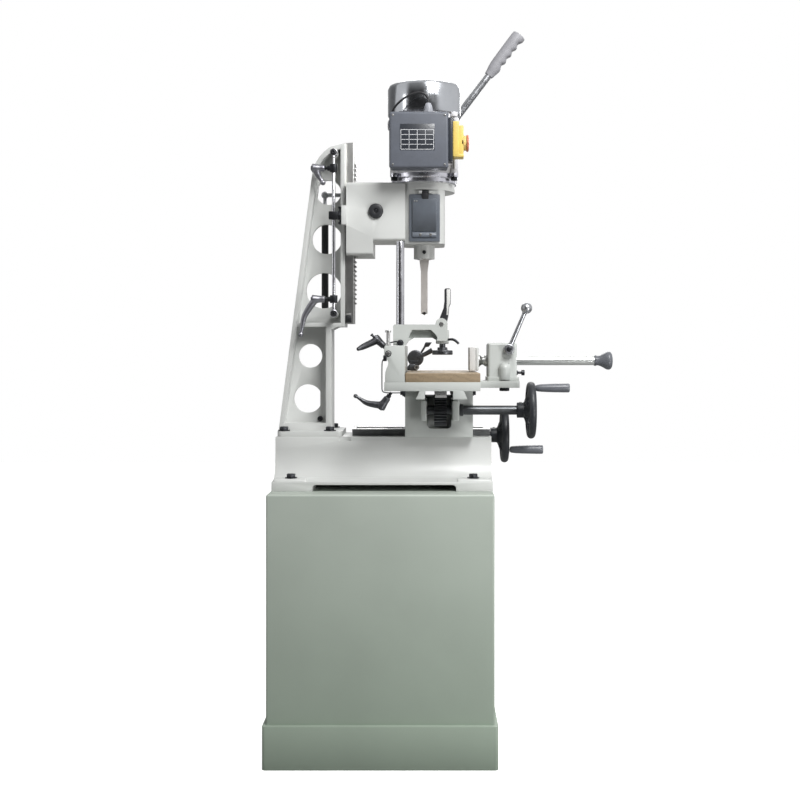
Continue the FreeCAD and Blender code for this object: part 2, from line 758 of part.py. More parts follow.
def auger_bit():
    tip = cone((spindle_x, 0, 1013.5), (0, 0, 1), 0.8, 3.5, 4.5)
    shank = rod((spindle_x, 0, 1018), (0, 0, 1), auger_r, 244)
    return join(tip, shank)


# Feed drive

def feed_pinion():
    wheel = gear(rack_module, pinion_teeth, 22, 0.25)
    wheel.rotate(Vector(0, 0, 0), Vector(0, 0, 1), 180)
    wheel.rotate(Vector(0, 0, 0), Vector(1, 0, 0), 90)
    wheel.translate(Vector(pinion_x, 11, pinion_z))
    return wheel.cut(rod((pinion_x, -20, pinion_z), (0, 1, 0), pinion_shaft_r, 40))


def pinion_shaft():
    shaft = rod((pinion_x, -66, pinion_z), (0, 1, 0), pinion_shaft_r, 170)
    cap = turned([(-73, 0), (-73, 13), (-71, 17.6), (-65.3, 17.6), (-65.3, 0)],
                 (pinion_x, 0, pinion_z), (0, 1, 0))
    return join(shaft, cap)


def lever_direction():
    angle = math.radians(lever_tilt)
    return Vector(math.sin(angle), 0, math.cos(angle))


def feed_lever():
    hub = rod((pinion_x, 103, pinion_z), (0, 1, 0), 24, 34)
    along = lever_direction()
    centre = Vector(pinion_x, lever_y, pinion_z)
    bar = Part.makeCylinder(lever_rod_r, rod_end - 15, centre + along * 15, along)
    collar = Part.makeCylinder(13, 22, centre + along * 18, along)
    bore = rod((pinion_x, 100, pinion_z), (0, 1, 0), pinion_shaft_r, 4)
    return join(hub, bar, collar).cut(bore)


def feed_grip():
    along = lever_direction()
    centre = Vector(pinion_x, lever_y, pinion_z)
    stations = [(0, 11.5), (12, 13), (30, 16), (60, 17), (120, 17.8), (128, 16.5)]
    profile = [(grip_start, lever_rod_r)]
    profile += [(grip_start + s, r) for s, r in stations]
    profile += [(grip_end, 0), (rod_end, 0), (rod_end, lever_rod_r)]
    return turned(profile, tuple(centre), tuple(along))


# Saddle

def saddle_casting():
    body = box(saddle_x0, saddle_x1, -saddle_half_y, saddle_half_y, base_top + 1, 836)
    body = round_edges(body, 5, upright)

    def half_at(z):
        slope = (way_half_top - way_half_bottom) / (way_top - base_top)
        return way_half_bottom + slope * (z - base_top) + slide_gap + 0.1

    roof = way_top + slide_gap
    under = prism_x([(-half_at(base_top), base_top - 1), (-half_at(roof), roof),
                     (half_at(roof), roof), (half_at(base_top), base_top - 1)],
                    saddle_x0 - 1, saddle_x1 + 1)
    body = body.cut(under)
    groove = prism_y([(86.6, 837), (78.2, 819.2), (194.8, 819.2), (186.4, 837)],
                     -saddle_half_y - 1, saddle_half_y + 1)
    body = body.cut(groove)
    recess = round_edges(box(104, 160, -saddle_half_y - 1, -72, 748, 838), 10,
                         lambda e: runs_along(e, (0, 1, 0)) and e.BoundBox.ZMax < 750)
    body = body.cut(recess)
    bearings = []
    for x0, x1 in ((90, 103.5), (160.5, 178)):
        bearings.append(round_edges(box(x0, x1, -133, -80, 767, 815), 6,
                                    lambda e: runs_along(e, (1, 0, 0)) and e.BoundBox.YMax < -130))
    body = join(body, *bearings)
    body = body.cut(rod((80, table_shaft_y, table_shaft_z), (1, 0, 0), table_shaft_r + run_gap, 110))
    return body


def cross_nut():
    block = box(112, 150, -18, 18, 711, way_top + slide_gap)
    return block.cut(rod((100, 0, screw_z), (1, 0, 0), screw_r + run_gap, 60))


def lead_screw():
    return rod((-55, 0, screw_z), (1, 0, 0), screw_r, 325)


def handwheel(y, z, hub_x, rim_x, bore_r, grip_dy, grip_dz):
    """A dished handwheel about X with the stud for its grip."""
    rim = turned([(rim_x - 8, 54), (rim_x - 9, 60), (rim_x - 6, wheel_r - 1), (rim_x, wheel_r),
                  (rim_x + 6, wheel_r - 1), (rim_x + 9, 60), (rim_x + 8, 54), (rim_x + 3, 51),
                  (rim_x - 3, 51)], (0, y, z), (1, 0, 0))
    dish = turned([(hub_x, bore_r), (hub_x, 17.5), (hub_x + 17, 18.5), (rim_x - 8, 54),
                   (rim_x + 3, 54), (hub_x + 25, 18), (hub_x + 30, 16), (hub_x + 30, 0),
                   (hub_x + 15, 0), (hub_x + 15, bore_r)], (0, y, z), (1, 0, 0))
    for k in range(wheel_windows):
        angle = math.radians(20 + 360 / wheel_windows * k)
        outline = Part.Ellipse(Vector(0, 0, 0), window_half_long, window_half).toShape()
        window = Part.Face(Part.Wire(outline)).extrude(Vector(0, 0, 60))
        window.rotate(Vector(0, 0, 0), Vector(0, 0, 1), math.degrees(angle) + 90)
        window.translate(Vector(window_r * math.cos(angle), window_r * math.sin(angle), 0))
        window.Placement = Placement(Vector(hub_x, y, z), Rotation(Vector(0, 0, 1), Vector(1, 0, 0))) \
            .multiply(window.Placement)
        dish = dish.cut(window)
    stud = rod((rim_x - 4, y + grip_dy, z + grip_dz), (1, 0, 0), grip_stud_r, 82)
    lug = rod((rim_x - 6, y + grip_dy, z + grip_dz), (1, 0, 0), 10, 15)
    return join(rim, dish, stud, lug)


def wheel_grip(y, z, start_x):
    bore = grip_stud_r + run_gap
    profile = [(0, bore), (0, 6.5), (4, 8), (20, 9.2), (60, 10.3), (77, 10.3), (79, 8.5), (79, 0),
               (75, 0), (75, bore)]
    shifted = [(start_x + s, r) for s, r in profile]
    return turned(shifted, (0, y, z), (1, 0, 0))


def table_shaft():
    shaft = rod((91, table_shaft_y, table_shaft_z), (1, 0, 0), table_shaft_r, 234)
    pinion = gear(table_module, table_pinion_teeth, 29, 0.2)
    pinion.rotate(Vector(0, 0, 0), Vector(0, 1, 0), 90)
    pinion.rotate(Vector(0, 0, 0), Vector(1, 0, 0), 180)
    pinion.translate(Vector(120, table_shaft_y, table_shaft_z))
    return join(pinion, shaft)


# Table and what stands on it

def table_casting():
    plate = box(table_x0, table_x1, -table_half_y, table_half_y, table_z0, table_z1)
    arm = round_edges(box(table_x1 - 20, 322, -60, 60, 841, 857), 8, lambda e: upright(e)
                      and e.BoundBox.XMin > 300)
    left_leg = prism_y([(87, table_z0 + 1), (87, table_z0), (79, 819.6), (99, 819.6), (99, table_z0 + 1)],
                       -table_half_y, table_half_y)
    right_leg = prism_y([(162, table_z0 + 1), (162, 819.6), (194, 819.6), (186, table_z0),
                         (186, table_z0 + 1)], -table_half_y, table_half_y)
    return join(plate, arm, left_leg, right_leg)


def table_rack():
    pitch_z = table_shaft_z + table_module * table_pinion_teeth / 2
    line = rack_outline(table_module, -195, 195, table_shaft_y, 0.2)
    points = [(-195, table_z0), (-195, pitch_z + 1.25 * table_module)]
    points += [(y, pitch_z - height) for y, height in line]
    points += [(195, pitch_z + 1.25 * table_module), (195, table_z0)]
    return prism_x(points, 122, 148)


def wood_top():
    return box(wood_x0, table_x1, -table_half_y, table_half_y, table_z1, wood_top_z)


def fence_block():
    back = [(10, table_z1), (10.5, 878.6), (14, 890), (18, 901.6), (14, 908), (7.7, 914), (7.7, 933),
            (11, fence_top_z)]
    outline = back + [(fence_front_x, fence_top_z), (fence_front_x, table_z1)]
    body = prism_y(outline, -table_half_y, table_half_y)
    body = body.cut(rod(lock_start(lock_stud + 6), lock_axis, lever_stud_r + run_gap, 60))
    return body.cut(rod((post_x, post_y, 905), (0, 0, 1), post_r + run_gap, 40))


def hold_down_post():
    stem = rod((post_x, post_y, 905), (0, 0, 1), post_r, 274)
    return round_edges(stem, 1.5, lambda e: e.BoundBox.ZMin > 1170 and e.BoundBox.ZMax < 1180)


def hold_down_arm():
    clamp_boss = round_edges(box(26.5, 64, -152, -108, 941, 988), 6, upright)
    beam = box(60, 149, -151, -109, 951, 988)
    beam = beam.cut(box(67, 124, -152, -136, 958, 974))
    beam = beam.cut(box(67, 124, -124, -108, 958, 974))
    end_boss = rod((foot_x, post_y, 944), (0, 0, 1), 15, 40)
    ears = []
    for y in (-151, -118):
        ears.append(rod((cam_x, y, cam_z), (0, 1, 0), 13.6, 9))
        ears.append(box(cam_x - 13, cam_x + 13, y, y + 9, 975, cam_z))
    body = join(clamp_boss, beam, end_boss, *ears)
    body = body.cut(rod((post_x, post_y, 930), (0, 0, 1), post_r + run_gap, 70))
    body = body.cut(rod((foot_x, post_y, 930), (0, 0, 1), plunger_r + run_gap, 70))
    body = body.cut(box(cam_x - 16, cam_x + 20, -141.8, -118.2, 975, 1010))
    return body.cut(rod((cam_x, -160, cam_z), (0, 1, 0), cam_pin_r + run_gap, 60))


def cam_lever():
    cam = rod((cam_x, -141.3, cam_z), (0, 1, 0), 12, 22.6)
    pin = rod((cam_x, -152, cam_z), (0, 1, 0), cam_pin_r, 44)
    paddle = prism_y([(cam_x, 985), (cam_x + 11, 990), (153, 1060), (151, 1070), (146, 1071),
                      (141, 1064), (cam_x - 2, 1000)], -140.5, -119.5)
    return join(cam, pin, paddle)


def foot_plunger():
    stem = rod((foot_x, post_y, 928), (0, 0, 1), plunger_r, 48.7)
    disc = turned([(919, 0), (919, 22), (921, 23.75), (928, 23.75), (930, 22), (930, 0)],
                  (foot_x, post_y, 0), (0, 0, 1))
    return join(stem, disc)


def lock_start(back):
    """A point on the post lock's axis, back millimetres behind the seat of its lever."""
    return (lock_seat[0] - lock_axis[0] * back, post_y, lock_seat[1] - lock_axis[2] * back)


def arm_clamp_lever():
    return clamping_lever(lock_start(lock_stud), lock_axis, lock_stud, (-50.6, -180, 932.3))


def table_lock_lever():
    return clamping_lever((24, -196, 835), (-0.58, 0, -0.81), 14, (-56, -196, 827))


def work_stop():
    disc = rod((work_stop_x, work_stop_y - 4, work_stop_z), (0, 1, 0), 20.4, 8)
    shoe = box(54.3, 76, 102, 116, 879.5, 893)
    arm = prism_y([(58, 890), (74, 890), (82, 905), (62, 905)], 103, 113)
    lever = prism_y([(84, 916), (86, 908), (117, 928), (114, 936)], 104, 112)
    ring = rod((77.5, 96, 888), (0, 1, 0), 7.5, 22)
    handle = prism_y([(90, 917), (98, 922), (104, 946), (98, 948)], 105, 111)
    return join(disc, shoe, arm, lever, ring, handle)


def clamp_block():
    body = round_edges(box(248, 316, -47, 47, 857, 947), 6,
                       lambda e: upright(e) or e.BoundBox.ZMin > 946)
    foot = round_edges(box(246, 321, -52, 52, 857, 866), 5, upright)
    bulge = rod((287, -47, 860), (0, 0, 1), 14, 26)
    bulge_top = ball((287, -47, 886), 14)
    body = join(body, foot, bulge, bulge_top)
    body = body.cut(rod((240, 0, clamp_z), (1, 0, 0), clamp_shaft_r + run_gap, 90))
    return body.cut(rod((clamp_hub_x, -70, clamp_hub_z), (0, 1, 0), clamp_pin_r + run_gap, 40))


def clamp_shaft():
    bar = rod((238, 0, clamp_z), (1, 0, 0), clamp_shaft_r, 272)
    nose = turned([(226, 0), (226, 15), (229, 15), (232, 12), (238, 10), (241, 14), (246, 14), (247, 0)],
                  (0, 0, clamp_z), (1, 0, 0))
    knob = turned([(504, 0), (504, 13), (512, 11.5), (524, 13), (534, 18), (540, 22), (545, 21.5),
                   (548, 18), (548, 0)], (0, 0, clamp_z), (1, 0, 0))
    return join(bar, nose, knob)


def clamp_jaw():
    backing = round_edges(box(218, 226, -50, 50, 881, 936.5), 5, lambda e: runs_along(e, (1, 0, 0)))
    pad = box(204, 218, -50, 50, 881, 936.5)
    return join(backing, pad)


def clamp_lever():
    hub = rod((clamp_hub_x, -63, clamp_hub_z), (0, 1, 0), 12.5, 15.7)
    pin = rod((clamp_hub_x, -50, clamp_hub_z), (0, 1, 0), clamp_pin_r, 18)
    tip = Vector(338, -56, 1028.5)
    start = Vector(clamp_hub_x, -56, clamp_hub_z)
    bar = Part.makeCylinder(5.0, (tip - start).Length, start, tip - start)
    return join(hub, pin, bar, ball(tuple(tip), 13.4))


def main():
    os.makedirs("parts", exist_ok=True)
    save("plinth", plinth())
    save("cabinet_shell", cabinet_shell())
    save("access_panel", access_panel())
    save("frame_bolts", *frame_bolts())
    save("base_casting", base_casting())
    save("column_casting", column_casting())
    save("column_rack", column_rack())
    save("stop_rod", stop_rod())
    save("upper_stop_collar", stop_collar(upper_collar_z))
    save("upper_collar_lever", collar_lever(upper_collar_z, (-140, stop_rod_y, 1322)))
    save("lower_stop_collar", stop_collar(lower_collar_z))
    save("lower_collar_lever", collar_lever(lower_collar_z, (-192, stop_rod_y, 966)))
    save("gas_spring_rod", gas_spring_rod())
    save("gas_spring_cylinder", gas_spring_cylinder())
    save("head_casting", head_casting())
    save("stop_lug", stop_lug())
    save("motor_body", motor_body())
    save("motor_stator", motor_stator())
    save("motor_end_bell", motor_end_bell())
    save("fan_cowl", fan_cowl())
    save("motor_bolts", *motor_bolts())
    save("switch_box", switch_box())
    save("switch_housing", switch_housing())
    save("stop_button", stop_button())
    save("lead_glands", *lead_glands())
    save("motor_lead", motor_lead())
    save("chisel_bush", chisel_bush())
    save("hollow_chisel", hollow_chisel())
    save("spindle_cover", spindle_cover())
    save("motor_rotor", motor_rotor())
    save("cooling_fan", cooling_fan())
    save("drill_chuck", drill_chuck())
    save("auger_bit", auger_bit())
    save("feed_pinion", feed_pinion())
    save("pinion_shaft", pinion_shaft())
    save("feed_lever", feed_lever())
    save("feed_grip", feed_grip())
    save("saddle_casting", saddle_casting())
    save("cross_nut", cross_nut())
    save("lead_screw", lead_screw())
    save("cross_handwheel", handwheel(0, screw_z, 256, 289, screw_r, -40.2, -31.4))
    save("cross_wheel_grip", wheel_grip(-40.2, screw_z - 31.4, 299))
    save("table_shaft", table_shaft())
    save("table_handwheel", handwheel(table_shaft_y, table_shaft_z, 311, 343, table_shaft_r,
                                      0, wheel_grip_offset))
    save("table_wheel_grip", wheel_grip(table_shaft_y, table_shaft_z + wheel_grip_offset, 353))
    save("table_casting", table_casting())
    save("table_rack", table_rack())
    save("wood_top", wood_top())
    save("fence_block", fence_block())
    save("hold_down_post", hold_down_post())
    save("hold_down_arm", hold_down_arm())
    save("cam_lever", cam_lever())
    save("foot_plunger", foot_plunger())
    save("arm_clamp_lever", arm_clamp_lever())
    save("table_lock_lever", table_lock_lever())
    save("work_stop", work_stop())
    save("clamp_block", clamp_block())
    save("clamp_shaft", clamp_shaft())
    save("clamp_jaw", clamp_jaw())
    save("clamp_lever", clamp_lever())


main()
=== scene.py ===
import math

import bpy
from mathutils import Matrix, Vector


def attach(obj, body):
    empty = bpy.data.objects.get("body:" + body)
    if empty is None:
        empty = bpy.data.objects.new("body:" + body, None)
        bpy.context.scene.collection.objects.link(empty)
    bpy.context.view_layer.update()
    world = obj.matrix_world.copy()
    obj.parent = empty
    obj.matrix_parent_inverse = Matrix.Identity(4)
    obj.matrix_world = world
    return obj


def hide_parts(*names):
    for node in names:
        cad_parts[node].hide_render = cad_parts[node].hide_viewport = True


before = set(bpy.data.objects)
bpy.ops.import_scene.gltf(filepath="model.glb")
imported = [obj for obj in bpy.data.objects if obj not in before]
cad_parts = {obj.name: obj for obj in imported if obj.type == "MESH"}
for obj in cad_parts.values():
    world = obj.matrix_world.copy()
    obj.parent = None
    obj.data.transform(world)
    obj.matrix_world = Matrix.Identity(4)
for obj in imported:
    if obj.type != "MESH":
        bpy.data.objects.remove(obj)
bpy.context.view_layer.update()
print("frame loaded")

mm = 0.001
spindleX = 97                       # the axis of spindle, chisel and motor
up, down = (0, 0, 1), (0, 0, -1)
toRight, toLeft = (1, 0, 0), (-1, 0, 0)
near, far = (0, -1, 0), (0, 1, 0)   # towards the photo's camera, and away from it


# Camera, floor and light

studio = {
    "cameraPlace": (0.106, -2.880, 0.930),
    "lens": 54.0,
    "shift": (-0.035, -0.0625),
    "floorColour": (0.93, 0.93, 0.925),
    "floorGlow": 0.75,          # the floor's own brightness to the camera
    "floorBounce": 0.30,        # how pale the floor looks to the object above it
    "skyLight": 0.37,
    # brightness of the room round the horizon: share of the turn from the left side, tone
    "room": [(0.0, 1.9), (0.075, 1.9), (0.112, 0.06), (0.27, 0.06), (0.345, 0.40), (0.39, 2.2), (0.60, 2.0),
             (0.75, 1.0), (0.88, 0.45), (0.955, 0.30), (0.97, 1.9)],
    "ceiling": 1.7,
    "lamps": [
        # name, place, aimed at, width, height, watts
        ("keySoftbox", (0.90, -1.50, 2.65), (0.0, 0.0, 0.9), 0.9, 0.9, 66.0),
        ("rightStrip", (1.05, -1.0, 0.62), (0.15, 0.0, 0.5), 0.3, 0.5, 6.0),
        ("leftStrip", (-2.3, -1.2, 1.4), (0.0, 0.0, 1.1), 0.4, 1.7, 6.0),
        ("backSoftbox", (0.4, 2.4, 2.2), (0.0, 0.0, 1.0), 1.4, 1.2, 26.0),
    ],
}


# Shows one shader to the camera and lets the other one light the object.
def splitByRay(tree, lighting, shown, output):
    path = tree.nodes.new("ShaderNodeLightPath")
    choose = tree.nodes.new("ShaderNodeMixShader")
    tree.links.new(path.outputs["Is Camera Ray"], choose.inputs["Fac"])
    tree.links.new(lighting, choose.inputs[1])
    tree.links.new(shown, choose.inputs[2])
    tree.links.new(choose.outputs["Shader"], tree.nodes[output].inputs["Surface"])


# A white backdrop, and for light and reflections a softer room with a darker side behind the camera.
def setUpSky(scene, values):
    world = bpy.data.worlds.new("studioSky")
    scene.world = world
    world.use_nodes = True
    tree = world.node_tree
    room = tree.nodes["Background"]
    room.inputs["Strength"].default_value = values["skyLight"]
    where = tree.nodes.new("ShaderNodeTexCoord")
    split = tree.nodes.new("ShaderNodeSeparateXYZ")
    tree.links.new(where.outputs["Generated"], split.inputs["Vector"])
    turn = tree.nodes.new("ShaderNodeTexGradient")
    turn.gradient_type = "RADIAL"
    tree.links.new(where.outputs["Generated"], turn.inputs["Vector"])
    tones = tree.nodes.new("ShaderNodeValToRGB")
    stops = tones.color_ramp.elements
    while len(stops) > 1:
        stops.remove(stops[-1])
    stops[0].position = 0.0
    for number, (at, tone) in enumerate(values["room"]):
        stop = stops[0] if number == 0 else stops.new(at)
        stop.color = (tone, tone, tone * 1.01, 1)
    tree.links.new(turn.outputs["Fac"], tones.inputs["Fac"])
    ceiling = tree.nodes.new("ShaderNodeMapRange")
    ceiling.inputs["From Min"].default_value = 0.36
    ceiling.inputs["From Max"].default_value = 0.85
    tree.links.new(split.outputs["Z"], ceiling.inputs["Value"])
    mix = tree.nodes.new("ShaderNodeMix")
    mix.data_type = "RGBA"
    colourSockets = [socket for socket in mix.inputs if socket.type == "RGBA"]
    tree.links.new(ceiling.outputs["Result"], mix.inputs[0])
    tree.links.new(tones.outputs["Color"], colourSockets[0])
    colourSockets[1].default_value = (values["ceiling"], values["ceiling"], values["ceiling"], 1)
    tree.links.new([socket for socket in mix.outputs if socket.type == "RGBA"][0], room.inputs["Color"])
    backdrop = tree.nodes.new("ShaderNodeBackground")
    backdrop.inputs["Color"].default_value = (1, 1, 1, 1)
    splitByRay(tree, room.outputs["Background"], backdrop.outputs["Background"], "World Output")


def setUpStudio(values):
    camera = bpy.data.cameras.new("photoCamera")
    camera.lens = values["lens"]
    camera.sensor_width = 36.0
    camera.shift_x, camera.shift_y = values["shift"]
    cameraObject = bpy.data.objects.new("photoCamera", camera)
    cameraObject.location = values["cameraPlace"]
    cameraObject.rotation_euler = (math.radians(90), 0, 0)
    scene = bpy.context.scene
    scene.collection.objects.link(cameraObject)
    scene.camera = cameraObject
    scene.view_settings.view_transform = "Standard"
    for name, place, target, width, height, watts in values["lamps"]:
        lamp = bpy.data.lights.new(name, "AREA")
        lamp.energy = watts
        lamp.shape = "RECTANGLE"
        lamp.size = width
        lamp.size_y = height
        lampObject = bpy.data.objects.new(name, lamp)
        lampObject.location = place
        aimed = Vector(target) - Vector(place)
        lampObject.rotation_euler = aimed.to_track_quat("-Z", "Y").to_euler()
        scene.collection.objects.link(lampObject)
    setUpSky(scene, values)
    bpy.ops.object.select_all(action="DESELECT")
    bpy.ops.mesh.primitive_plane_add(size=14, location=(0, 0, 0))
    floor = bpy.context.object
    floor.name = "studioFloor"
    paper = bpy.data.materials.new("floorPaper")
    paper.use_nodes = True
    tree = paper.node_tree
    shader = tree.nodes["Principled BSDF"]
    shader.inputs["Base Color"].default_value = (*values["floorColour"], 1)
    shader.inputs["Roughness"].default_value = 0.9
    shader.inputs["Emission Color"].default_value = (1, 1, 1, 1)
    shader.inputs["Emission Strength"].default_value = values["floorGlow"]
    dull = tree.nodes.new("ShaderNodeBsdfDiffuse")
    dull.inputs["Color"].default_value = (*[values["floorBounce"]] * 3, 1)
    splitByRay(tree, dull.outputs["BSDF"], shader.outputs["BSDF"], "Material Output")
    floor.data.materials.append(paper)


setUpStudio(studio)
print("studio ready")


# Finishes

def startFinish(name):
    material = bpy.data.materials.new(name)
    material.use_nodes = True
    tree = material.node_tree
    return material, tree, tree.nodes["Principled BSDF"]


def place(tree, scale=(1, 1, 1), turn=(0, 0, 0)):
    where = tree.nodes.new("ShaderNodeTexCoord")
    mapping = tree.nodes.new("ShaderNodeMapping")
    mapping.inputs["Scale"].default_value = scale
    mapping.inputs["Rotation"].default_value = turn
    tree.links.new(where.outputs["Object"], mapping.inputs["Vector"])
    return mapping.outputs["Vector"]


def noise(tree, vector, scale, detail=3.0, roughness=0.5):
    node = tree.nodes.new("ShaderNodeTexNoise")
    node.inputs["Scale"].default_value = scale
    node.inputs["Detail"].default_value = detail
    node.inputs["Roughness"].default_value = roughness
    tree.links.new(vector, node.inputs["Vector"])
    return node.outputs["Fac"]


def ramp(tree, value, stops):
    node = tree.nodes.new("ShaderNodeValToRGB")
    elements = node.color_ramp.elements
    while len(elements) < len(stops):
        elements.new(0.5)
    for element, (at, colour) in zip(elements, stops):
        element.position = at
        element.color = (*colour, 1)
    tree.links.new(value, node.inputs["Fac"])
    return node.outputs["Color"]


def spread(tree, value, low, high, fromLow=0.0, fromHigh=1.0):
    node = tree.nodes.new("ShaderNodeMapRange")
    node.inputs["From Min"].default_value = fromLow
    node.inputs["From Max"].default_value = fromHigh
    node.inputs["To Min"].default_value = low
    node.inputs["To Max"].default_value = high
    tree.links.new(value, node.inputs["Value"])
    return node.outputs["Result"]


def blendColours(tree, factor, first, second, kind="MIX"):
    node = tree.nodes.new("ShaderNodeMix")
    node.data_type = "RGBA"
    node.blend_type = kind
    slots = {"Factor": factor, "A": first, "B": second}
    for socket in node.inputs:
        if socket.name not in slots or (socket.name != "Factor" and socket.type != "RGBA"):
            continue
        if socket.name == "Factor" and socket.type != "VALUE":
            continue
        value = slots[socket.name]
        if isinstance(value, (int, float)):
            socket.default_value = value
        elif isinstance(value, tuple):
            socket.default_value = (*value, 1)
        else:
            tree.links.new(value, socket)
    return [socket for socket in node.outputs if socket.type == "RGBA"][0]


def bump(tree, shader, height, strength, distance):
    node = tree.nodes.new("ShaderNodeBump")
    node.inputs["Strength"].default_value = strength
    node.inputs["Distance"].default_value = distance
    tree.links.new(height, node.inputs["Height"])
    tree.links.new(node.outputs["Normal"], shader.inputs["Normal"])


def shade(colour, factor):
    return tuple(min(1.0, channel * factor) for channel in colour)


# Sprayed paint: faint mottling, fine orange peel, dust in the gloss; the optional height ramp multiplies it
# darker and greener lower down, which is painted shade, with the paler top a painted sheen.
def paintFinish(name, colour, roughness=0.42, peel=0.25, peelScale=420.0, coat=0.15, paintedShade=None):
    material, tree, shader = startFinish(name)
    vector = place(tree)
    clouds = noise(tree, vector, 5.0, 4.0)
    tone = ramp(tree, clouds, [(0.3, shade(colour, 0.94)), (0.7, shade(colour, 1.05))])
    specks = noise(tree, vector, 900.0, 2.0)
    flecks = ramp(tree, specks, [(0.30, shade(colour, 0.82)), (0.40, colour)])
    tone = blendColours(tree, 0.22, tone, flecks)
    # painted shade: the colour is darkened towards the bottom by object height, standing in for the light
    # falling off
    if paintedShade:
        split = tree.nodes.new("ShaderNodeSeparateXYZ")
        tree.links.new(vector, split.inputs["Vector"])
        height = spread(tree, split.outputs["Z"], 0.0, 1.0, paintedShade["low"], paintedShade["high"])
        paintedShadeTint = ramp(tree, height, [(0.0, paintedShade["colour"]), (1.0, (1.0, 1.0, 1.0))])
        tone = blendColours(tree, 1.0, tone, paintedShadeTint, "MULTIPLY")
    tree.links.new(tone, shader.inputs["Base Color"])
    gloss = noise(tree, vector, 26.0, 5.0, 0.6)
    tree.links.new(spread(tree, gloss, roughness - 0.06, roughness + 0.10, 0.3, 0.7),
                   shader.inputs["Roughness"])
    shader.inputs["Coat Weight"].default_value = coat
    shader.inputs["Coat Roughness"].default_value = 0.25
    bump(tree, shader, noise(tree, vector, peelScale, 2.0), peel, 0.0002)
    return material


# Bare metal: fine tool marks drawn out along one way, and slight tarnish.
def metalFinish(name, colour, roughness=0.3, streaks=(1, 1, 1), grain=600.0, mark=0.12, tarnish=0.9):
    material, tree, shader = startFinish(name)
    vector = place(tree, streaks)
    marks = noise(tree, vector, grain, 3.0)
    stains = noise(tree, place(tree), 22.0, 4.0, 0.6)
    tone = ramp(tree, stains, [(0.3, shade(colour, tarnish)), (0.62, colour)])
    tree.links.new(tone, shader.inputs["Base Color"])
    shader.inputs["Metallic"].default_value = 1.0
    tree.links.new(spread(tree, marks, roughness * 0.8, roughness * 1.35, 0.3, 0.7),
                   shader.inputs["Roughness"])
    bump(tree, shader, marks, mark, 0.0001)
    return material


# Dark enamel or moulded gloss with faint dust and finger smears in the shine.
def glossFinish(name, colour, roughness=0.16, coat=0.6, smear=0.1):
    material, tree, shader = startFinish(name)
    vector = place(tree)
    dust = noise(tree, vector, 340.0, 5.0, 0.7)
    tone = ramp(tree, dust, [(0.55, colour), (0.80, tuple(c + 0.03 for c in colour))])
    tree.links.new(tone, shader.inputs["Base Color"])
    smears = noise(tree, vector, 14.0, 4.0, 0.6)
    tree.links.new(spread(tree, smears, roughness, roughness + smear, 0.35, 0.75), shader.inputs["Roughness"])
    shader.inputs["Coat Weight"].default_value = coat
    shader.inputs["Coat Roughness"].default_value = 0.08
    bump(tree, shader, noise(tree, vector, 150.0, 2.0), 0.06, 0.0002)
    return material


# Moulded plastic or rubber with a fine pebbled grain and rubbed places.
def plasticFinish(name, colour, roughness=0.45, grain=1400.0, depth=0.35):
    material, tree, shader = startFinish(name)
    vector = place(tree)
    rubbed = noise(tree, vector, 30.0, 4.0, 0.6)
    tone = ramp(tree, rubbed, [(0.35, shade(colour, 0.88)), (0.7, shade(colour, 1.10))])
    tree.links.new(tone, shader.inputs["Base Color"])
    tree.links.new(spread(tree, rubbed, roughness + 0.08, roughness - 0.06, 0.3, 0.7),
                   shader.inputs["Roughness"])
    bump(tree, shader, noise(tree, vector, grain, 2.0), depth, 0.00012)
    return material


# A planed beech-like board: the grain runs along Y, with rings on the end.
def woodFinish(name, light, dark):
    material, tree, shader = startFinish(name)
    along = place(tree, (1.0, 0.06, 1.0))
    bend = noise(tree, along, 9.0, 3.0)
    wave = tree.nodes.new("ShaderNodeTexWave")
    wave.wave_type = "RINGS"
    wave.rings_direction = "Y"
    wave.inputs["Scale"].default_value = 26.0
    wave.inputs["Distortion"].default_value = 5.0
    wave.inputs["Detail"].default_value = 3.0
    wave.inputs["Detail Scale"].default_value = 1.6
    tree.links.new(along, wave.inputs["Vector"])
    rings = ramp(tree, wave.outputs["Fac"], [(0.15, light), (0.85, shade(light, 0.80))])
    patches = ramp(tree, bend, [(0.35, shade(light, 1.04)), (0.7, dark)])
    tone = blendColours(tree, 0.38, rings, patches)
    pores = noise(tree, place(tree, (1.0, 0.03, 1.0)), 900.0, 2.0)
    poreTone = ramp(tree, pores, [(0.30, shade(dark, 0.55)), (0.42, (1.0, 1.0, 1.0))])
    tone = blendColours(tree, 0.45, tone, poreTone, "MULTIPLY")
    tree.links.new(tone, shader.inputs["Base Color"])
    shader.inputs["Roughness"].default_value = 0.62
    bump(tree, shader, pores, 0.3, 0.0002)
    return material


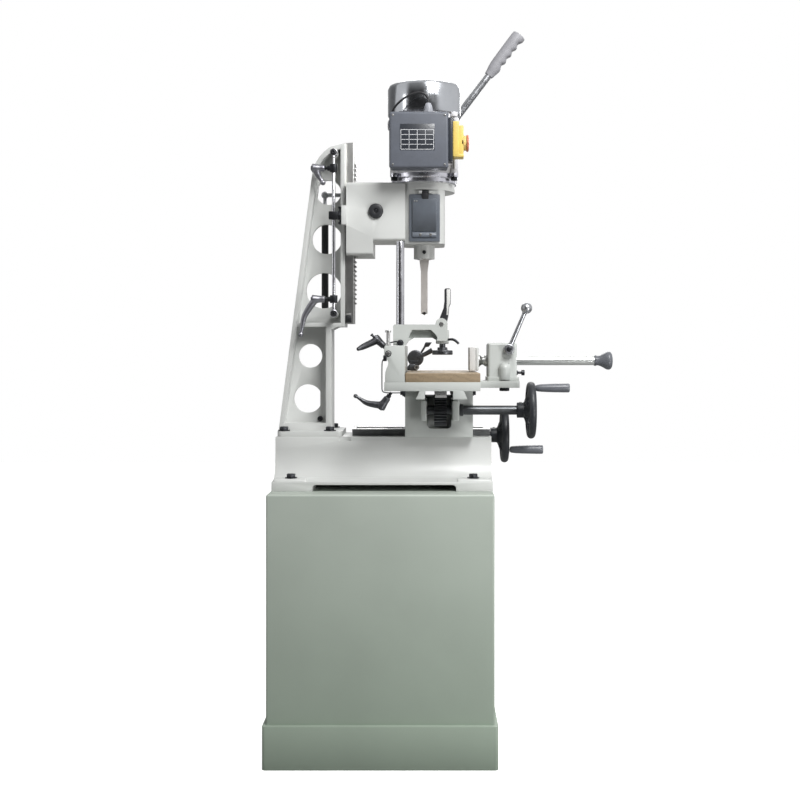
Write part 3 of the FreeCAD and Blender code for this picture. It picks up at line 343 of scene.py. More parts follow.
finishRows = [
    # finish, its slot in the record, how it is made, its colour and other values
    # the stand's paint carries painted shade: darker and greener towards the floor, paler at the top
    ("standPaint", "stand_paint", paintFinish, (0.365, 0.405, 0.36), 0.46, 0.2, 520.0, 0.12,
     {"low": 0.0, "high": 0.62, "colour": (0.66, 0.73, 0.66)}),
    ("castingPaint", "casting_paint", paintFinish, (0.53, 0.54, 0.525), 0.42, 0.12, 260.0),
    ("tablePaint", "casting_paint", paintFinish, (0.45, 0.47, 0.45), 0.42, 0.12, 260.0),
    ("slatePlastic", "slate_box", plasticFinish, (0.100, 0.109, 0.130), 0.42, 1500.0, 0.25),
    ("blackPlastic", "black_plastic", plasticFinish, (0.022, 0.023, 0.026), 0.38),
    ("gripPlastic", "black_plastic", plasticFinish, (0.110, 0.116, 0.130), 0.36, 1200.0, 0.15),
    ("greyGrip", "grey_grip", plasticFinish, (0.27, 0.27, 0.288), 0.55, 900.0, 0.05),
    ("blackSteel", "black_steel", metalFinish, (0.055, 0.057, 0.062), 0.42, (1, 1, 1), 500.0, 0.25, 0.7),
    ("machinedSteel", "machined_steel", metalFinish, (0.62, 0.62, 0.61), 0.30, (1, 1, 14), 260.0),
    ("paleShaft", "machined_steel", metalFinish, (0.70, 0.72, 0.70), 0.34, (30, 1, 1), 120.0),
    ("chrome", "chrome", metalFinish, (0.58, 0.58, 0.61), 0.20, (1, 1, 1), 60.0, 0.01, 0.95),
    ("zinc", "zinc_lever", metalFinish, (0.33, 0.33, 0.36), 0.34, (1, 1, 1), 180.0, 0.25, 0.75),
    ("darkShaft", "dark_shaft", metalFinish, (0.10, 0.105, 0.11), 0.36, (30, 1, 1), 160.0, 0.2, 0.7),
    ("motorSilver", "motor_silver", paintFinish, (0.62, 0.62, 0.64), 0.34, 0.30, 700.0, 0.2),
    ("coreIron", "core_iron", metalFinish, (0.20, 0.18, 0.17), 0.5, (1, 1, 60), 60.0, 0.4, 0.6),
    ("machinedWay", "machined_steel", metalFinish, (0.50, 0.50, 0.49), 0.36, (1, 1, 20), 90.0, 0.2, 0.75),
    # darker steel for the base way's flanks: partly the steel's own tone, partly painted shade of the
    # downward-facing flanks
    ("blackenedWay", "black_steel", metalFinish, (0.19, 0.193, 0.20), 0.40, (20, 1, 1), 90.0, 0.2, 0.7),
    ("groundSteel", "machined_steel", metalFinish, (0.80, 0.76, 0.72), 0.42, (1, 1, 12), 240.0, 0.10, 0.88),
    ("darkSteel", "black_steel", metalFinish, (0.115, 0.118, 0.125), 0.36, (1, 1, 1), 300.0, 0.2, 0.7),
    ("darkZinc", "zinc_lever", metalFinish, (0.12, 0.122, 0.13), 0.36, (1, 1, 1), 180.0, 0.25, 0.7),
    ("satinChrome", "chrome", metalFinish, (0.47, 0.48, 0.50), 0.30, (1, 1, 1), 60.0, 0.01, 0.95),
    ("smokedGloss", "black_gloss", metalFinish, (0.60, 0.62, 0.65), 0.16, (1, 1, 1), 60.0, 0.01, 0.93),
    ("bellGloss", "black_gloss", metalFinish, (0.74, 0.74, 0.80), 0.26, (1, 1, 1), 60.0, 0.02, 0.90),
    ("wheelBlack", "black_gloss", glossFinish, (0.014, 0.016, 0.020), 0.42, 0.03, 0.15),
    # paler copy of machinedWay: painted highlight on the column's upper way; also the way stop's pale strip
    ("paleWay", "machined_steel", metalFinish, (0.66, 0.66, 0.64), 0.42, (1, 1, 20), 90.0, 0.15, 0.85),
    # a darker copy of the casting paint for the hold-down arm's pocket: painted shade in the recess
    ("castShade", "casting_paint", paintFinish, (0.20, 0.22, 0.205), 0.5, 0.12, 260.0),
    ("glandGrey", "black_plastic", plasticFinish, (0.30, 0.31, 0.34), 0.45, 900.0, 0.10),
    ("slateGloss", "slate_box", plasticFinish, (0.110, 0.124, 0.145), 0.30, 1500.0, 0.12),
    ("plateBlack", "black_plastic", plasticFinish, (0.030, 0.034, 0.042), 0.32, 1500.0, 0.05),
    ("plateInk", "motor_silver", plasticFinish, (0.62, 0.63, 0.65), 0.45, 1500.0, 0.05),
    ("switchOrange", "switch_yellow", plasticFinish, (0.70, 0.54, 0.20), 0.36, 1500.0, 0.15),
    ("bronze", "bronze", metalFinish, (0.52, 0.34, 0.15), 0.36, (1, 1, 1), 300.0, 0.15, 0.7),
    ("switchYellow", "switch_yellow", plasticFinish, (0.66, 0.49, 0.13), 0.36, 1500.0, 0.15),
    ("stopRed", "stop_red", plasticFinish, (0.50, 0.16, 0.09), 0.30, 1500.0, 0.12),
    ("leadRubber", "lead_rubber", plasticFinish, (0.018, 0.018, 0.020), 0.50, 700.0, 0.3),
    ("paleRubber", "lead_rubber", plasticFinish, (0.62, 0.62, 0.60), 0.5, 900.0, 0.25),
    ("jawPad", "jaw_pad", plasticFinish, (0.53, 0.525, 0.51), 0.50, 1100.0, 0.10),
    ("wood", "wood", woodFinish, (0.29, 0.222, 0.142), (0.22, 0.158, 0.092)),
]
finishes, slotOf = {}, {}
for name, slotName, make, *values in finishRows:
    finishes[name] = make(name, *values)
    slotOf[name] = slotName
print("finishes ready")


# Modelling helpers

def deselectAll():
    if bpy.context.object and bpy.context.object.mode != "OBJECT":
        bpy.ops.object.mode_set(mode="OBJECT")
    bpy.ops.object.select_all(action="DESELECT")


def only(piece):
    deselectAll()
    piece.select_set(True)
    bpy.context.view_layer.objects.active = piece


def settle(piece):
    only(piece)
    bpy.ops.object.transform_apply(location=True, rotation=True, scale=True)


# Edit mode with the whole mesh selected.
def openMesh(piece):
    only(piece)
    bpy.ops.object.mode_set(mode="EDIT")
    bpy.ops.mesh.select_all(action="SELECT")


def closeMesh():
    bpy.ops.object.mode_set(mode="OBJECT")


# Merges what touches and turns the faces outwards.
def outward(piece):
    openMesh(piece)
    bpy.ops.mesh.remove_doubles(threshold=0.000005)
    bpy.ops.mesh.normals_make_consistent(inside=False)
    closeMesh()


# A box between two corners in millimetres.
def block(low, high):
    deselectAll()
    middle = [(a + b) / 2 * mm for a, b in zip(low, high)]
    size = [(b - a) * mm for a, b in zip(low, high)]
    bpy.ops.mesh.primitive_cube_add(size=1, location=middle, scale=size)
    piece = bpy.context.object
    settle(piece)
    return piece


# A turned piece: a disc drawn out along the axis and resized at each (along, radius) station.
def turned(stations, start=(0, 0, 0), toward=up, sides=48):
    deselectAll()
    along, radius = stations[0]
    bpy.ops.mesh.primitive_circle_add(vertices=sides, radius=radius * mm, fill_type="NGON",
                                      location=(0, 0, along * mm))
    piece = bpy.context.object
    settle(piece)
    openMesh(piece)
    for nextAlong, nextRadius in stations[1:]:
        step = (0, 0, (nextAlong - along) * mm)
        bpy.ops.mesh.extrude_region_move(TRANSFORM_OT_translate={"value": step})
        grow = nextRadius / radius
        bpy.ops.transform.resize(value=(grow, grow, 1), center_override=(0, 0, nextAlong * mm))
        along, radius = nextAlong, nextRadius
    closeMesh()
    outward(piece)
    aim(piece, start, toward)
    return piece


# Turns a piece made along +Z from the origin to lie along toward, from start (millimetres).
def aim(piece, start, toward):
    piece.rotation_mode = "QUATERNION"
    piece.rotation_quaternion = Vector(up).rotation_difference(Vector(toward).normalized())
    piece.location = [v * mm for v in start]
    settle(piece)


# A flat outline of points (millimetres) drawn vertex by vertex, filled, and extruded by depth.
def drawn(points, depth):
    deselectAll()
    first = Vector(points[0]) * mm
    bpy.ops.mesh.primitive_plane_add(size=0.001, location=(0, 0, 0))
    piece = bpy.context.object
    openMesh(piece)
    bpy.ops.mesh.select_mode(type="VERT")
    bpy.ops.mesh.select_all(action="SELECT")
    bpy.ops.mesh.merge(type="CENTER")
    bpy.ops.transform.translate(value=first)
    last = first
    for point in points[1:]:
        here = Vector(point) * mm
        bpy.ops.mesh.extrude_vertices_move(TRANSFORM_OT_translate={"value": here - last})
        last = here
    bpy.ops.mesh.select_all(action="SELECT")
    bpy.ops.mesh.edge_face_add()
    bpy.ops.mesh.extrude_region_move(TRANSFORM_OT_translate={"value": Vector(depth) * mm})
    closeMesh()
    outward(piece)
    return piece


def combine(piece, operation, others):
    for other in others:
        only(piece)
        change = piece.modifiers.new("combine", "BOOLEAN")
        change.operation = operation
        change.solver = "EXACT"
        change.object = other
        bpy.ops.object.modifier_apply(modifier=change.name)
        bpy.data.objects.remove(other)
    return piece


def cut(piece, *cutters):
    return combine(piece, "DIFFERENCE", cutters)


def fuse(piece, *others):
    return combine(piece, "UNION", others)


# Bores a round hole from start along toward.
def drill(piece, radius, length, start=(0, 0, 0), toward=up, sides=40):
    return cut(piece, turned([(0, radius), (length, radius)], start, toward, sides))


# Resizes a piece about the origin, by one factor for each axis.
def stretch(piece, factors):
    openMesh(piece)
    bpy.ops.transform.resize(value=factors, center_override=(0, 0, 0))
    closeMesh()


def joined(*pieces):
    deselectAll()
    for piece in pieces:
        piece.select_set(True)
    bpy.context.view_layer.objects.active = pieces[0]
    bpy.ops.object.join()
    return bpy.context.object


# A row of copies, each a step (millimetres) further on, joined into one piece.
def repeated(piece, count, step):
    copies = [piece]
    for number in range(1, count):
        copy = piece.copy()
        copy.data = piece.data.copy()
        copy.location = [v * number * mm for v in step]
        bpy.context.scene.collection.objects.link(copy)
        settle(copy)
        copies.append(copy)
    return joined(*copies)


# Rounds the edges of a piece and smooths its curved faces.
def soften(piece, width, segments=3, angle=30):
    only(piece)
    if width:
        change = piece.modifiers.new("roundEdges", "BEVEL")
        change.width = width * mm
        change.segments = segments
        change.limit_method = "ANGLE"
        change.angle_limit = math.radians(angle)
        change.miter_outer = "MITER_ARC"
        change.use_clamp_overlap = True
        bpy.ops.object.modifier_apply(modifier=change.name)
    bpy.ops.object.shade_smooth_by_angle(angle=math.radians(32))
    return piece


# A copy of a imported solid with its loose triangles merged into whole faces.
def copyOf(nodeName):
    deselectAll()
    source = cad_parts[nodeName]
    piece = bpy.data.objects.new("copy", source.data.copy())
    bpy.context.scene.collection.objects.link(piece)
    piece.data.materials.clear()
    openMesh(piece)
    bpy.ops.mesh.customdata_custom_splitnormals_clear()
    bpy.ops.mesh.remove_doubles(threshold=0.00001)
    bpy.ops.mesh.dissolve_limited(angle_limit=math.radians(1.5))
    closeMesh()
    return piece


# Names a piece, gives it its finish, and lets it ride on its body for the nodes it replaces.
def finished(piece, name, finish, body, *nodes):
    piece.name = name
    piece.data.name = name
    if not piece.data.materials:
        piece.data.materials.append(finishes[finish])
    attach(piece, body)
    if nodes:
        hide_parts(*nodes)
    return piece


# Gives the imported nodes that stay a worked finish.
def repaint(finish, names):
    for name in names:
        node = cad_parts[name]
        if not node.material_slots:
            node.data.materials.append(finishes[finish])
        for slot in node.material_slots:
            slot.material = finishes[finish]


# Motor lead: the short tail from the switch box's gland to the boss behind the box

lead = {
    "radius": 2.5,
    "points": [
        (107, -110, 1500), (107, -110, 1509), (103, -110, 1518), (94, -110, 1524), (82, -109, 1525),
        (64, -107, 1520), (46, -102, 1510), (31, -93, 1498), (22, -82, 1485), (20, -74, 1468),
    ],
    "length": 0.140,
}


# A round line near points (millimetres), with a share of the thickness for each point.
def roundLine(name, points, shares, thickness, roundness, smoothness):
    curve = bpy.data.curves.new(name, "CURVE")
    curve.dimensions = "3D"
    curve.bevel_depth = thickness * mm
    curve.bevel_resolution = roundness
    curve.resolution_u = smoothness
    curve.use_fill_caps = True
    line = curve.splines.new("NURBS")
    line.points.add(len(points) - 1)
    for point, at, share in zip(line.points, points, shares):
        point.co = (*(v * mm for v in at), 1)
        point.radius = share
    line.order_u = 3
    line.use_endpoint_u = True
    piece = bpy.data.objects.new(name, curve)
    bpy.context.scene.collection.objects.link(piece)
    return piece


def makeLead(values):
    points = values["points"]
    piece = roundLine("motorLead", points, [1.0] * len(points), values["radius"], 6, 10)
    piece.data.materials.append(finishes["leadRubber"])
    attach(piece, "head")
    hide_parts("motor_lead")


makeLead(lead)
print("motor lead laid")


# Every solid that stays gets its finish first; worked pieces then take the place of some

solidFinishes = {
    "standPaint": ["plinth", "cabinet_shell", "access_panel"],
    "castingPaint": ["base_casting", "column_casting", "head_casting", "saddle_casting"],
    "tablePaint": ["table_casting", "fence_block", "hold_down_arm", "clamp_block"],
    "blackSteel": ["frame_bolts", "upper_stop_collar", "lower_stop_collar", "stop_lug", "motor_bolts",
                   "drill_chuck", "auger_bit", "work_stop"],
    "machinedSteel": ["column_rack", "stop_rod", "gas_spring_rod", "hollow_chisel", "chisel_bush",
                      "feed_pinion", "table_rack", "foot_plunger"],
    "zinc": ["upper_collar_lever", "lower_collar_lever", "arm_clamp_lever", "table_lock_lever"],
    "blackPlastic": ["gas_spring_cylinder", "spindle_cover", "pinion_shaft", "cooling_fan",
                     "cross_wheel_grip", "table_wheel_grip", "cam_lever"],
    "bellGloss": ["motor_end_bell", "fan_cowl"],
    "wheelBlack": ["cross_handwheel", "table_handwheel"],
    "motorSilver": ["motor_body"],
    "coreIron": ["motor_stator", "motor_rotor"],
    "slatePlastic": ["switch_box"],
    "switchYellow": ["switch_housing"],
    "stopRed": ["stop_button"],
    "glandGrey": ["lead_glands"],
    "darkShaft": ["lead_screw", "table_shaft", "feed_lever"],
    "greyGrip": ["feed_grip"],
    "bronze": ["cross_nut"],
    "wood": ["wood_top"],
    "chrome": ["hold_down_post", "clamp_lever"],
    "paleShaft": ["clamp_shaft"],
    "jawPad": ["clamp_jaw"],
}
for finish, names in solidFinishes.items():
    repaint(finish, names)
print("solids painted")


# Castings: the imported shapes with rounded, painted edges

castings = [
    # node, name, finish, body, edge radius
    ("plinth", "standPlinth", "standPaint", "stand_and_column", 1.8),
    ("cabinet_shell", "standCabinet", "standPaint", "stand_and_column", 0),
    ("column_casting", "columnCasting", "castingPaint", "stand_and_column", 2.2),
    ("head_casting", "headCasting", "castingPaint", "head", 1.6),
    ("table_casting", "tableCasting", "tablePaint", "table", 1.5),
    ("clamp_block", "clampBlock", "tablePaint", "table", 1.5),
]


# Cuts a level line round a piece, where two finishes meet.
def splitAt(piece, height):
    openMesh(piece)
    bpy.ops.mesh.bisect(plane_co=(0, 0, height * mm), plane_no=up)
    closeMesh()


def makeCastings(rows):
    made = {}
    for node, name, finish, body, radius in rows:
        piece = copyOf(node)
        if node == "column_casting":
            splitAt(piece, 1258)        # behind the head, where the machined way meets its paler copy, a painted highlight above
        soften(piece, radius, 2)
        made[node] = finished(piece, name, finish, body, node)
        print(" ", name, len(piece.data.polygons), "faces")
    return made


# Gives the faces whose middle and normal are wanted another finish.
def paintFaces(piece, finish, wanted):
    piece.data.materials.append(finishes[finish])
    index = len(piece.data.materials) - 1
    for face in piece.data.polygons:
        if wanted(face.center / mm, face.normal):
            face.material_index = index


wayStop = {"x": (-89, -72), "y": -44.5, "block": (994.5, 1011), "strip": (1012.5, 1016.5)}


def makeWayStop(values):
    x0, x1 = values["x"]
    low, high = values["block"]
    plate = soften(block((x0, values["y"], low), (x1, values["y"] + 3, high)), 0.6, 2, 40)
    finished(plate, "wayStopPlate", "darkSteel", "stand_and_column")
    low, high = values["strip"]
    strip = soften(block((x0 + 1, values["y"] + 0.5, low), (x1, values["y"] + 3, high)), 0.8, 2, 40)
    finished(strip, "wayStopStrip", "paleWay", "stand_and_column")


makeWayStop(wayStop)
cast = makeCastings(castings)
paintFaces(cast["column_casting"], "machinedWay",
           lambda at, normal: at.x > -90.5 and 992 < at.z < 1260 and abs(at.y) < 47)
# the way above the head gets the paler copy of the machined finish: painted highlight, lighter where the light
# falls near the top
paintFaces(cast["column_casting"], "paleWay",
           lambda at, normal: at.x > -90.5 and 1260 <= at.z < 1421 and abs(at.y) < 47)
print("castings done")


# Base casting: a coved flange that runs up into a straight neck, with four bolt pads and the long way

base = {
    "x": (-250, 254), "halfWidth": 155, "flangeTop": 630, "low": 608.7, "neckHalf": 80, "top": 727,
    "coveStart": (-122, 632), "coveSteps": 9, "coveEndZ": 698,
    "wall": 14, "hollow": (66, 694), "screwSlotX": (-65, 238), "screwSlotHalf": 22,
    "padTop": 636, "padX": ((-247, -171), (172, 251)),
    "way": {"x": (-73, 252), "halfBottom": 42, "halfTop": 52, "top": 744},
}


def makeBase(values):
    x0, x1 = values["x"]
    neck, half, low, top = values["neckHalf"], values["halfWidth"], values["low"], values["top"]
    startY, startZ = values["coveStart"]
    cove = []
    for step in range(values["coveSteps"] + 1):
        angle = math.radians(90 * step / values["coveSteps"])
        cove.append((startY + (-neck - startY) * math.sin(angle),
                     startZ + (values["coveEndZ"] - startZ) * (1 - math.cos(angle))))
    left = [(-half, low), (-half, values["flangeTop"])] + cove + [(-neck, top)]
    section = left + [(-y, z) for y, z in reversed(left)]
    body = drawn([(x0, y, z) for y, z in section], (x1 - x0, 0, 0))
    for padX in values["padX"]:
        for side in (-1, 1):
            y0, y1 = sorted((side * 101, side * (half - 3)))
            pad = block((padX[0], y0, values["flangeTop"] - 6), (padX[1], y1, values["padTop"]))
            soften(pad, 5, 3, 60)
            fuse(body, pad)
    wall, (hollowHalf, hollowTop) = values["wall"], values["hollow"]
    cut(body, block((x0 + wall, -hollowHalf, low - 1), (x1 - wall, hollowHalf, hollowTop)))
    (s0, s1), slotHalf = values["screwSlotX"], values["screwSlotHalf"]      # where the cross screw runs
    cut(body, block((s0, -slotHalf, 690), (s1, slotHalf, top + 30)))
    cut(body, soften(block((-157, -half - 10, low - 20), (170, -60, 623.4)), 8, 4, 60))
    cut(body, block((-102, -neck - 10, 718), (-74, -71, top + 10)))
    drill(body, 9.6, 60, (225, 0, 726), toRight, 32)
    soften(body, 1.6, 2, 40)
    finished(body, "baseCasting", "castingPaint", "stand_and_column", "base_casting")
    way = values["way"]
    outline = [(-way["halfBottom"], top - 0.5), (-way["halfTop"], way["top"]), (way["halfTop"], way["top"]),
               (way["halfBottom"], top - 0.5)]
    bar = drawn([(way["x"][0], y, z) for y, z in outline], (way["x"][1] - way["x"][0], 0, 0))
    cut(bar, block((s0, -slotHalf, 700), (s1, slotHalf, top + 30)))
    soften(bar, 0.8, 2, 25)
    # the way's flanks take the dark finish, painted shade for their shadow; the top faces keep plain machined
    # steel
    finished(bar, "baseWay", "blackenedWay", "stand_and_column", "base_casting")
    paintFaces(bar, "machinedSteel", lambda at, normal: normal.z > 0.9)


makeBase(base)
print("base done")


# Saddle: a box on the way, a dovetail groove across its top, and the two bearings of the table's shaft

saddle = {
    "x": (53, 210), "halfWidth": 103, "low": 728, "top": 836,
    "bearings": ((90, 103.5), (160.5, 178)), "shaft": (-116, 791.5), "shaftRadius": 10.7,
    "under": [(-42.2, 727), (-52.5, 744.4), (52.5, 744.4), (42.2, 727)],
    "groove": [(87.1, 838), (78.2, 819.2), (194.8, 819.2), (185.9, 838)],
}


def makeSaddle(values):
    x0, x1 = values["x"]
    half, low, top = values["halfWidth"], values["low"], values["top"]
    body = block((x0, -half, low), (x1, half, top))
    cut(body, drawn([(x0 - 5, y, z) for y, z in values["under"]], (x1 - x0 + 10, 0, 0)))
    cut(body, drawn([(x, -half - 5, z) for x, z in values["groove"]], (0, 2 * half + 10, 0)))
    recess = soften(block((104, -half - 20, 748), (160, -72, 850)), 9, 3, 60)
    cut(body, recess)
    for b0, b1 in values["bearings"]:
        bearing = soften(block((b0, -133, 767), (b1, -90, 815)), 4, 3, 60)
        fuse(body, bearing)
    y, z = values["shaft"]
    drill(body, values["shaftRadius"], 110, (80, y, z), toRight)
    soften(body, 1.4, 2, 40)
    finished(body, "saddleCasting", "tablePaint", "saddle", "saddle_casting")


makeSaddle(saddle)
print("saddle done")


# Small hardware

# A socket-head cap screw with a hexagon recess and a chamfered rim.
def socketScrew(at, toward, headRadius, headHeight, socket=0.45, sides=28):
    r, h = headRadius, headHeight
    head = turned([(-0.4, r), (h * 0.82, r), (h, r * 0.86)], sides=sides)
    key = turned([(h * 0.45, r * socket), (h * 1.5, r * socket)], sides=6)
    cut(head, key)
    soften(head, 0.15 * min(1.0, r / 4), 2, 35)
    aim(head, at, toward)
    return head


# A hexagon head with chamfered corners, on a washer when one is given.
def hexBolt(at, toward, acrossFlats, height, washer=0.0):
    corner = acrossFlats / math.sqrt(3)
    head = turned([(-0.4, corner), (height * 0.85, corner), (height, corner * 0.84)], sides=6)
    soften(head, 0.3, 2, 20)
    parts = [head]
    if washer:
        ring = soften(turned([(-2.0, washer), (0.0, washer)], sides=40), 0.4, 2, 40)
        parts.append(ring)
    bolt = joined(*parts)
    aim(bolt, at, toward)
    return bolt


# A cheese-head or pan-head screw with a driver slot.
def slottedScrew(at, toward, radius, height):
    head = turned([(-0.3, radius), (height * 0.5, radius), (height * 0.9, radius * 0.8),
                   (height, radius * 0.45)], sides=24)
    cut(head, block((-radius * 1.2, -radius * 0.13, height * 0.45),
                    (radius * 1.2, radius * 0.13, height * 2)))
    soften(head, 0, 1)
    aim(head, at, toward)
    return head


frameBolts = {
    "cabinet": [(x, y, 638.5) for x in (-208, 210) for y in (-128, 128)],
    "columnFoot": [(x, y, 742.5) for x in (-232, -124) for y in (-62, 62)],
    "flats": 19, "height": 8, "washer": 14,
}


def makeFrameBolts(values):
    bolts = []
    for at in values["cabinet"] + values["columnFoot"]:
        bolts.append(hexBolt(at, up, values["flats"], values["height"], values["washer"]))
    finished(joined(*bolts), "frameBolts", "blackSteel", "stand_and_column", "frame_bolts")


makeFrameBolts(frameBolts)

panelScrews = {"x": -256.5, "y": (-170, 170), "z": (146, 355, 564), "radius": 4.6, "height": 2.4}


def makePanel(values):
    panel = copyOf("access_panel")
    soften(panel, 0.7, 2)
    finished(panel, "accessPanel", "standPaint", "stand_and_column", "access_panel")
    heads = []
    for y in values["y"]:
        for z in values["z"]:
            heads.append(slottedScrew((values["x"], y, z), toLeft, values["radius"], values["height"]))
    finished(joined(*heads), "panelScrews", "machinedSteel", "stand_and_column")


makePanel(panelScrews)
print("bolts and panel done")


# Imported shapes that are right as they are: merged, with their curved faces smooth and edges eased.
def smoothCopies(rows):
    for node, name, finish, body, radius in rows:
        piece = copyOf(node)
        soften(piece, radius, 2, 40)
        finished(piece, name, finish, body, node)


# A tapering bar along a smooth line through points (millimetres).
def swept(points, radii, roundness=4):
    deselectAll()
    bar = roundLine("bar", points, radii, 1, roundness, 12)
    only(bar)
    bpy.ops.object.convert(target="MESH")
    return bpy.context.object


def ball(at, radius, rings=16):
    deselectAll()
    bpy.ops.mesh.primitive_uv_sphere_add(segments=rings * 2, ring_count=rings, radius=radius * mm,
                                         location=[v * mm for v in at])
    settle(bpy.context.object)
    return bpy.context.object


# Melts the joined shapes of a casting into one skin.
def blended(piece, voxel, rounds):
    only(piece)
    change = piece.modifiers.new("skin", "REMESH")
    change.mode = "VOXEL"
    change.voxel_size = voxel * mm
    bpy.ops.object.modifier_apply(modifier=change.name)
    change = piece.modifiers.new("melt", "SMOOTH")
    change.factor = 0.6
    change.iterations = rounds
    bpy.ops.object.modifier_apply(modifier=change.name)
    bpy.ops.object.shade_smooth_by_angle(angle=math.radians(60))
    return piece


# Clamping levers: a die-cast hub and a curved, tapering arm on a black stud

clampLevers = [
    {"name": "upperStopLever", "node": "upper_collar_lever", "body": "upper_stop_lever", "finish": "zinc",
     "start": (-130, -70, 1355.7), "axis": toLeft, "stud": 6, "tip": (-140, -70, 1322), "bow": (-4, 0, 2)},
    {"name": "lowerStopLever", "node": "lower_collar_lever", "body": "lower_stop_lever", "finish": "zinc",
     "start": (-130, -70, 1049), "axis": toLeft, "stud": 6, "tip": (-192, -70, 966), "bow": (-9, 0, 8)},
    {"name": "armLever", "node": "arm_clamp_lever", "body": "arm_lock", "finish": "darkZinc",
     "start": (30.5, -130, 915.6), "axis": (-0.7365, 0, 0.6765), "stud": 33.9, "tip": (-50.6, -180, 932.3),
     "bow": (-2, -3, -1), "nub": 8, "arm": [8.6, 7.6, 6.8, 4.4], "ball": 4.6},
    {"name": "tableLockLever", "node": "table_lock_lever", "body": "table_lock", "finish": "darkZinc",
     "start": (24, -196, 835), "axis": (-0.58, 0, -0.81), "stud": 14, "tip": (-56, -196, 827),
     "bow": (-2, 0, -8), "arm": [8.8, 7.0, 4.0, 2.9], "ball": 4.9},
]


def makeClampLever(values):
    start, along = Vector(values["start"]), Vector(values["axis"]).normalized()
    tip = Vector(values["tip"])
    seat = start + along * values["stud"]
    hub = turned([(0, 6.8), (1.5, 7.6), (12, 8.2), (21, 9.8), (27, 10.6), (29, 10.4)], seat, along, 32)
    knee = seat + along * 21
    middle = (knee + tip) / 2 + Vector(values["bow"])
    late = knee * 0.2 + tip * 0.8 + Vector(values["bow"]) * 0.35
    arm = swept([knee, middle, late, tip], values.get("arm", [8.6, 7.4, 4.6, 4.2]))
    end = ball(tip, values.get("ball", 6.4))
    body = blended(joined(hub, arm, end), 0.8, 5)
    collar = soften(turned([(-0.2, 9.0), (0.9, 9.0), (1.4, 8.4)], seat + along * 28.6, along, 36), 0.2, 1)
    body = joined(body, collar)
    finished(body, values["name"], values["finish"], values["body"], values["node"])
    screw = socketScrew(seat + along * 29.8, along, 5.6, 2.4, 0.5)
    if "nub" in values:
        screw = joined(screw, turned([(0, 2.6), (values["nub"], 2.6), (values["nub"] + 0.1, 3.6),
                                      (values["nub"] + 3.4, 3.6)], seat + along * 29, along, 24))
    finished(screw, values["name"] + "Screw", "blackSteel", values["body"])
    stud = turned([(0, 3.4), (values["stud"] * 0.5, 3.4), (values["stud"] * 0.5, 5.2),
                   (values["stud"] + 1, 5.2)], start, along, 24)
    soften(stud, 0.3, 1)
    finished(stud, values["name"] + "Stud", "blackSteel", values["body"])


for values in clampLevers:
    makeClampLever(values)
print("clamping levers done")


# Depth stop: the rod, its two end fixings and the sliding collars

depthStop = {
    "x": -114.8, "y": -70, "rod": 4.0, "low": 1015, "high": 1393,
    "collars": (("upperStopCollar", "upper_stop_collar", "upper_stop", 1355.7),
                ("lowerStopCollar", "lower_stop_collar", "lower_stop", 1049.0)),
}


def makeDepthStop(values):
    x, y, r = values["x"], values["y"], values["rod"]
    low, high = values["low"], values["high"]
    rod = turned([(0, r), (high - low - 36, r), (high - low - 35, r - 0.5), (high - low, r - 0.5)],
                 (x, y, low), up, 32)
    soften(rod, 0.3, 2)
    finished(rod, "stopRod", "chrome", "stand_and_column", "stop_rod")
    ring = turned([(0, r - 0.55), (0.5, r), (1.0, r - 0.55)], (x, y, high - 10), down, 24)
    finished(repeated(ring, 16, (0, 0, -1.5)), "stopRodThread", "machinedSteel", "stand_and_column")
    for name, z in (("stopFixingLow", low), ("stopFixingHigh", high)):
        eye = soften(turned([(0, 9.2), (10.5, 9.2), (12, 8.2)], (x, -62.4, z), near, 40), 0.6, 3)
        finished(eye, name, "chrome", "stand_and_column")
        screw = socketScrew((x, -74.4, z), near, 4.4, 4.6, 0.48)
        finished(screw, name + "Screw", "blackSteel", "stand_and_column")
    for name, node, body, z in values["collars"]:
        collar = turned([(-9, 9), (9, 9)], (x, y, z), up, 40)
        flat = block((x - 12, y - 12, z - 20), (x + 12, y - 7.6, z + 20))
        back = block((x - 12, y + 7.3, z - 20), (x + 12, y + 12, z + 20))
        cut(collar, flat, back)
        boss = turned([(0, 6), (14.6, 6)], (x, y, z), toLeft, 32)
        fuse(collar, boss)
        drill(collar, 4.1, 30, (x, y, z - 15), up, 32)
        soften(collar, 0.5, 2, 40)
        finished(collar, name, "blackSteel", body, node)


makeDepthStop(depthStop)


# Stop lug on the head: a block round the rod, its stem, and the clamping plate behind

stopLug = {"x": -114.8, "y": -70, "z": 1245}


def makeStopLug(values):
    x, y, z = values["x"], values["y"], values["z"]
    front = block((-126, -80, z - 9), (-104, -60, z + 9))
    drill(front, 4.1, 40, (x, y, z - 20), up, 32)
    soften(front, 1.6, 3, 40)
    stem = turned([(0, 6), (10, 6)], (-106, y, z), toRight, 28)
    nut = hexBolt((-104, y, z), toRight, 20, 7.6)
    plate = soften(block((-98.6, -78, z - 20), (-96.1, -60, z + 20)), 0.8, 2, 40)
    claws = [block((-103.5, -78, z + side * 18 - 2.5), (-97, -62, z + side * 18 + 2.5)) for side in (-1, 1)]
    for claw in claws:
        soften(claw, 0.8, 2, 40)
    finished(joined(front, stem, nut, plate, *claws), "stopLug", "blackSteel", "head", "stop_lug")


makeStopLug(stopLug)


# Gas spring on the far side, and the bolt of its lower eye on this side

gasSpring = {
    "x": -146, "y": 58, "low": 767, "high": 1309,
    "tube": [(1032, 7.2), (1034, 8.5), (1268, 8.5), (1272, 6), (1276, 4.5), (1301, 4.5)],
    "lowerEye": [(49.2, 8.6), (50, 9), (65.4, 9), (66.2, 8.6)],
}


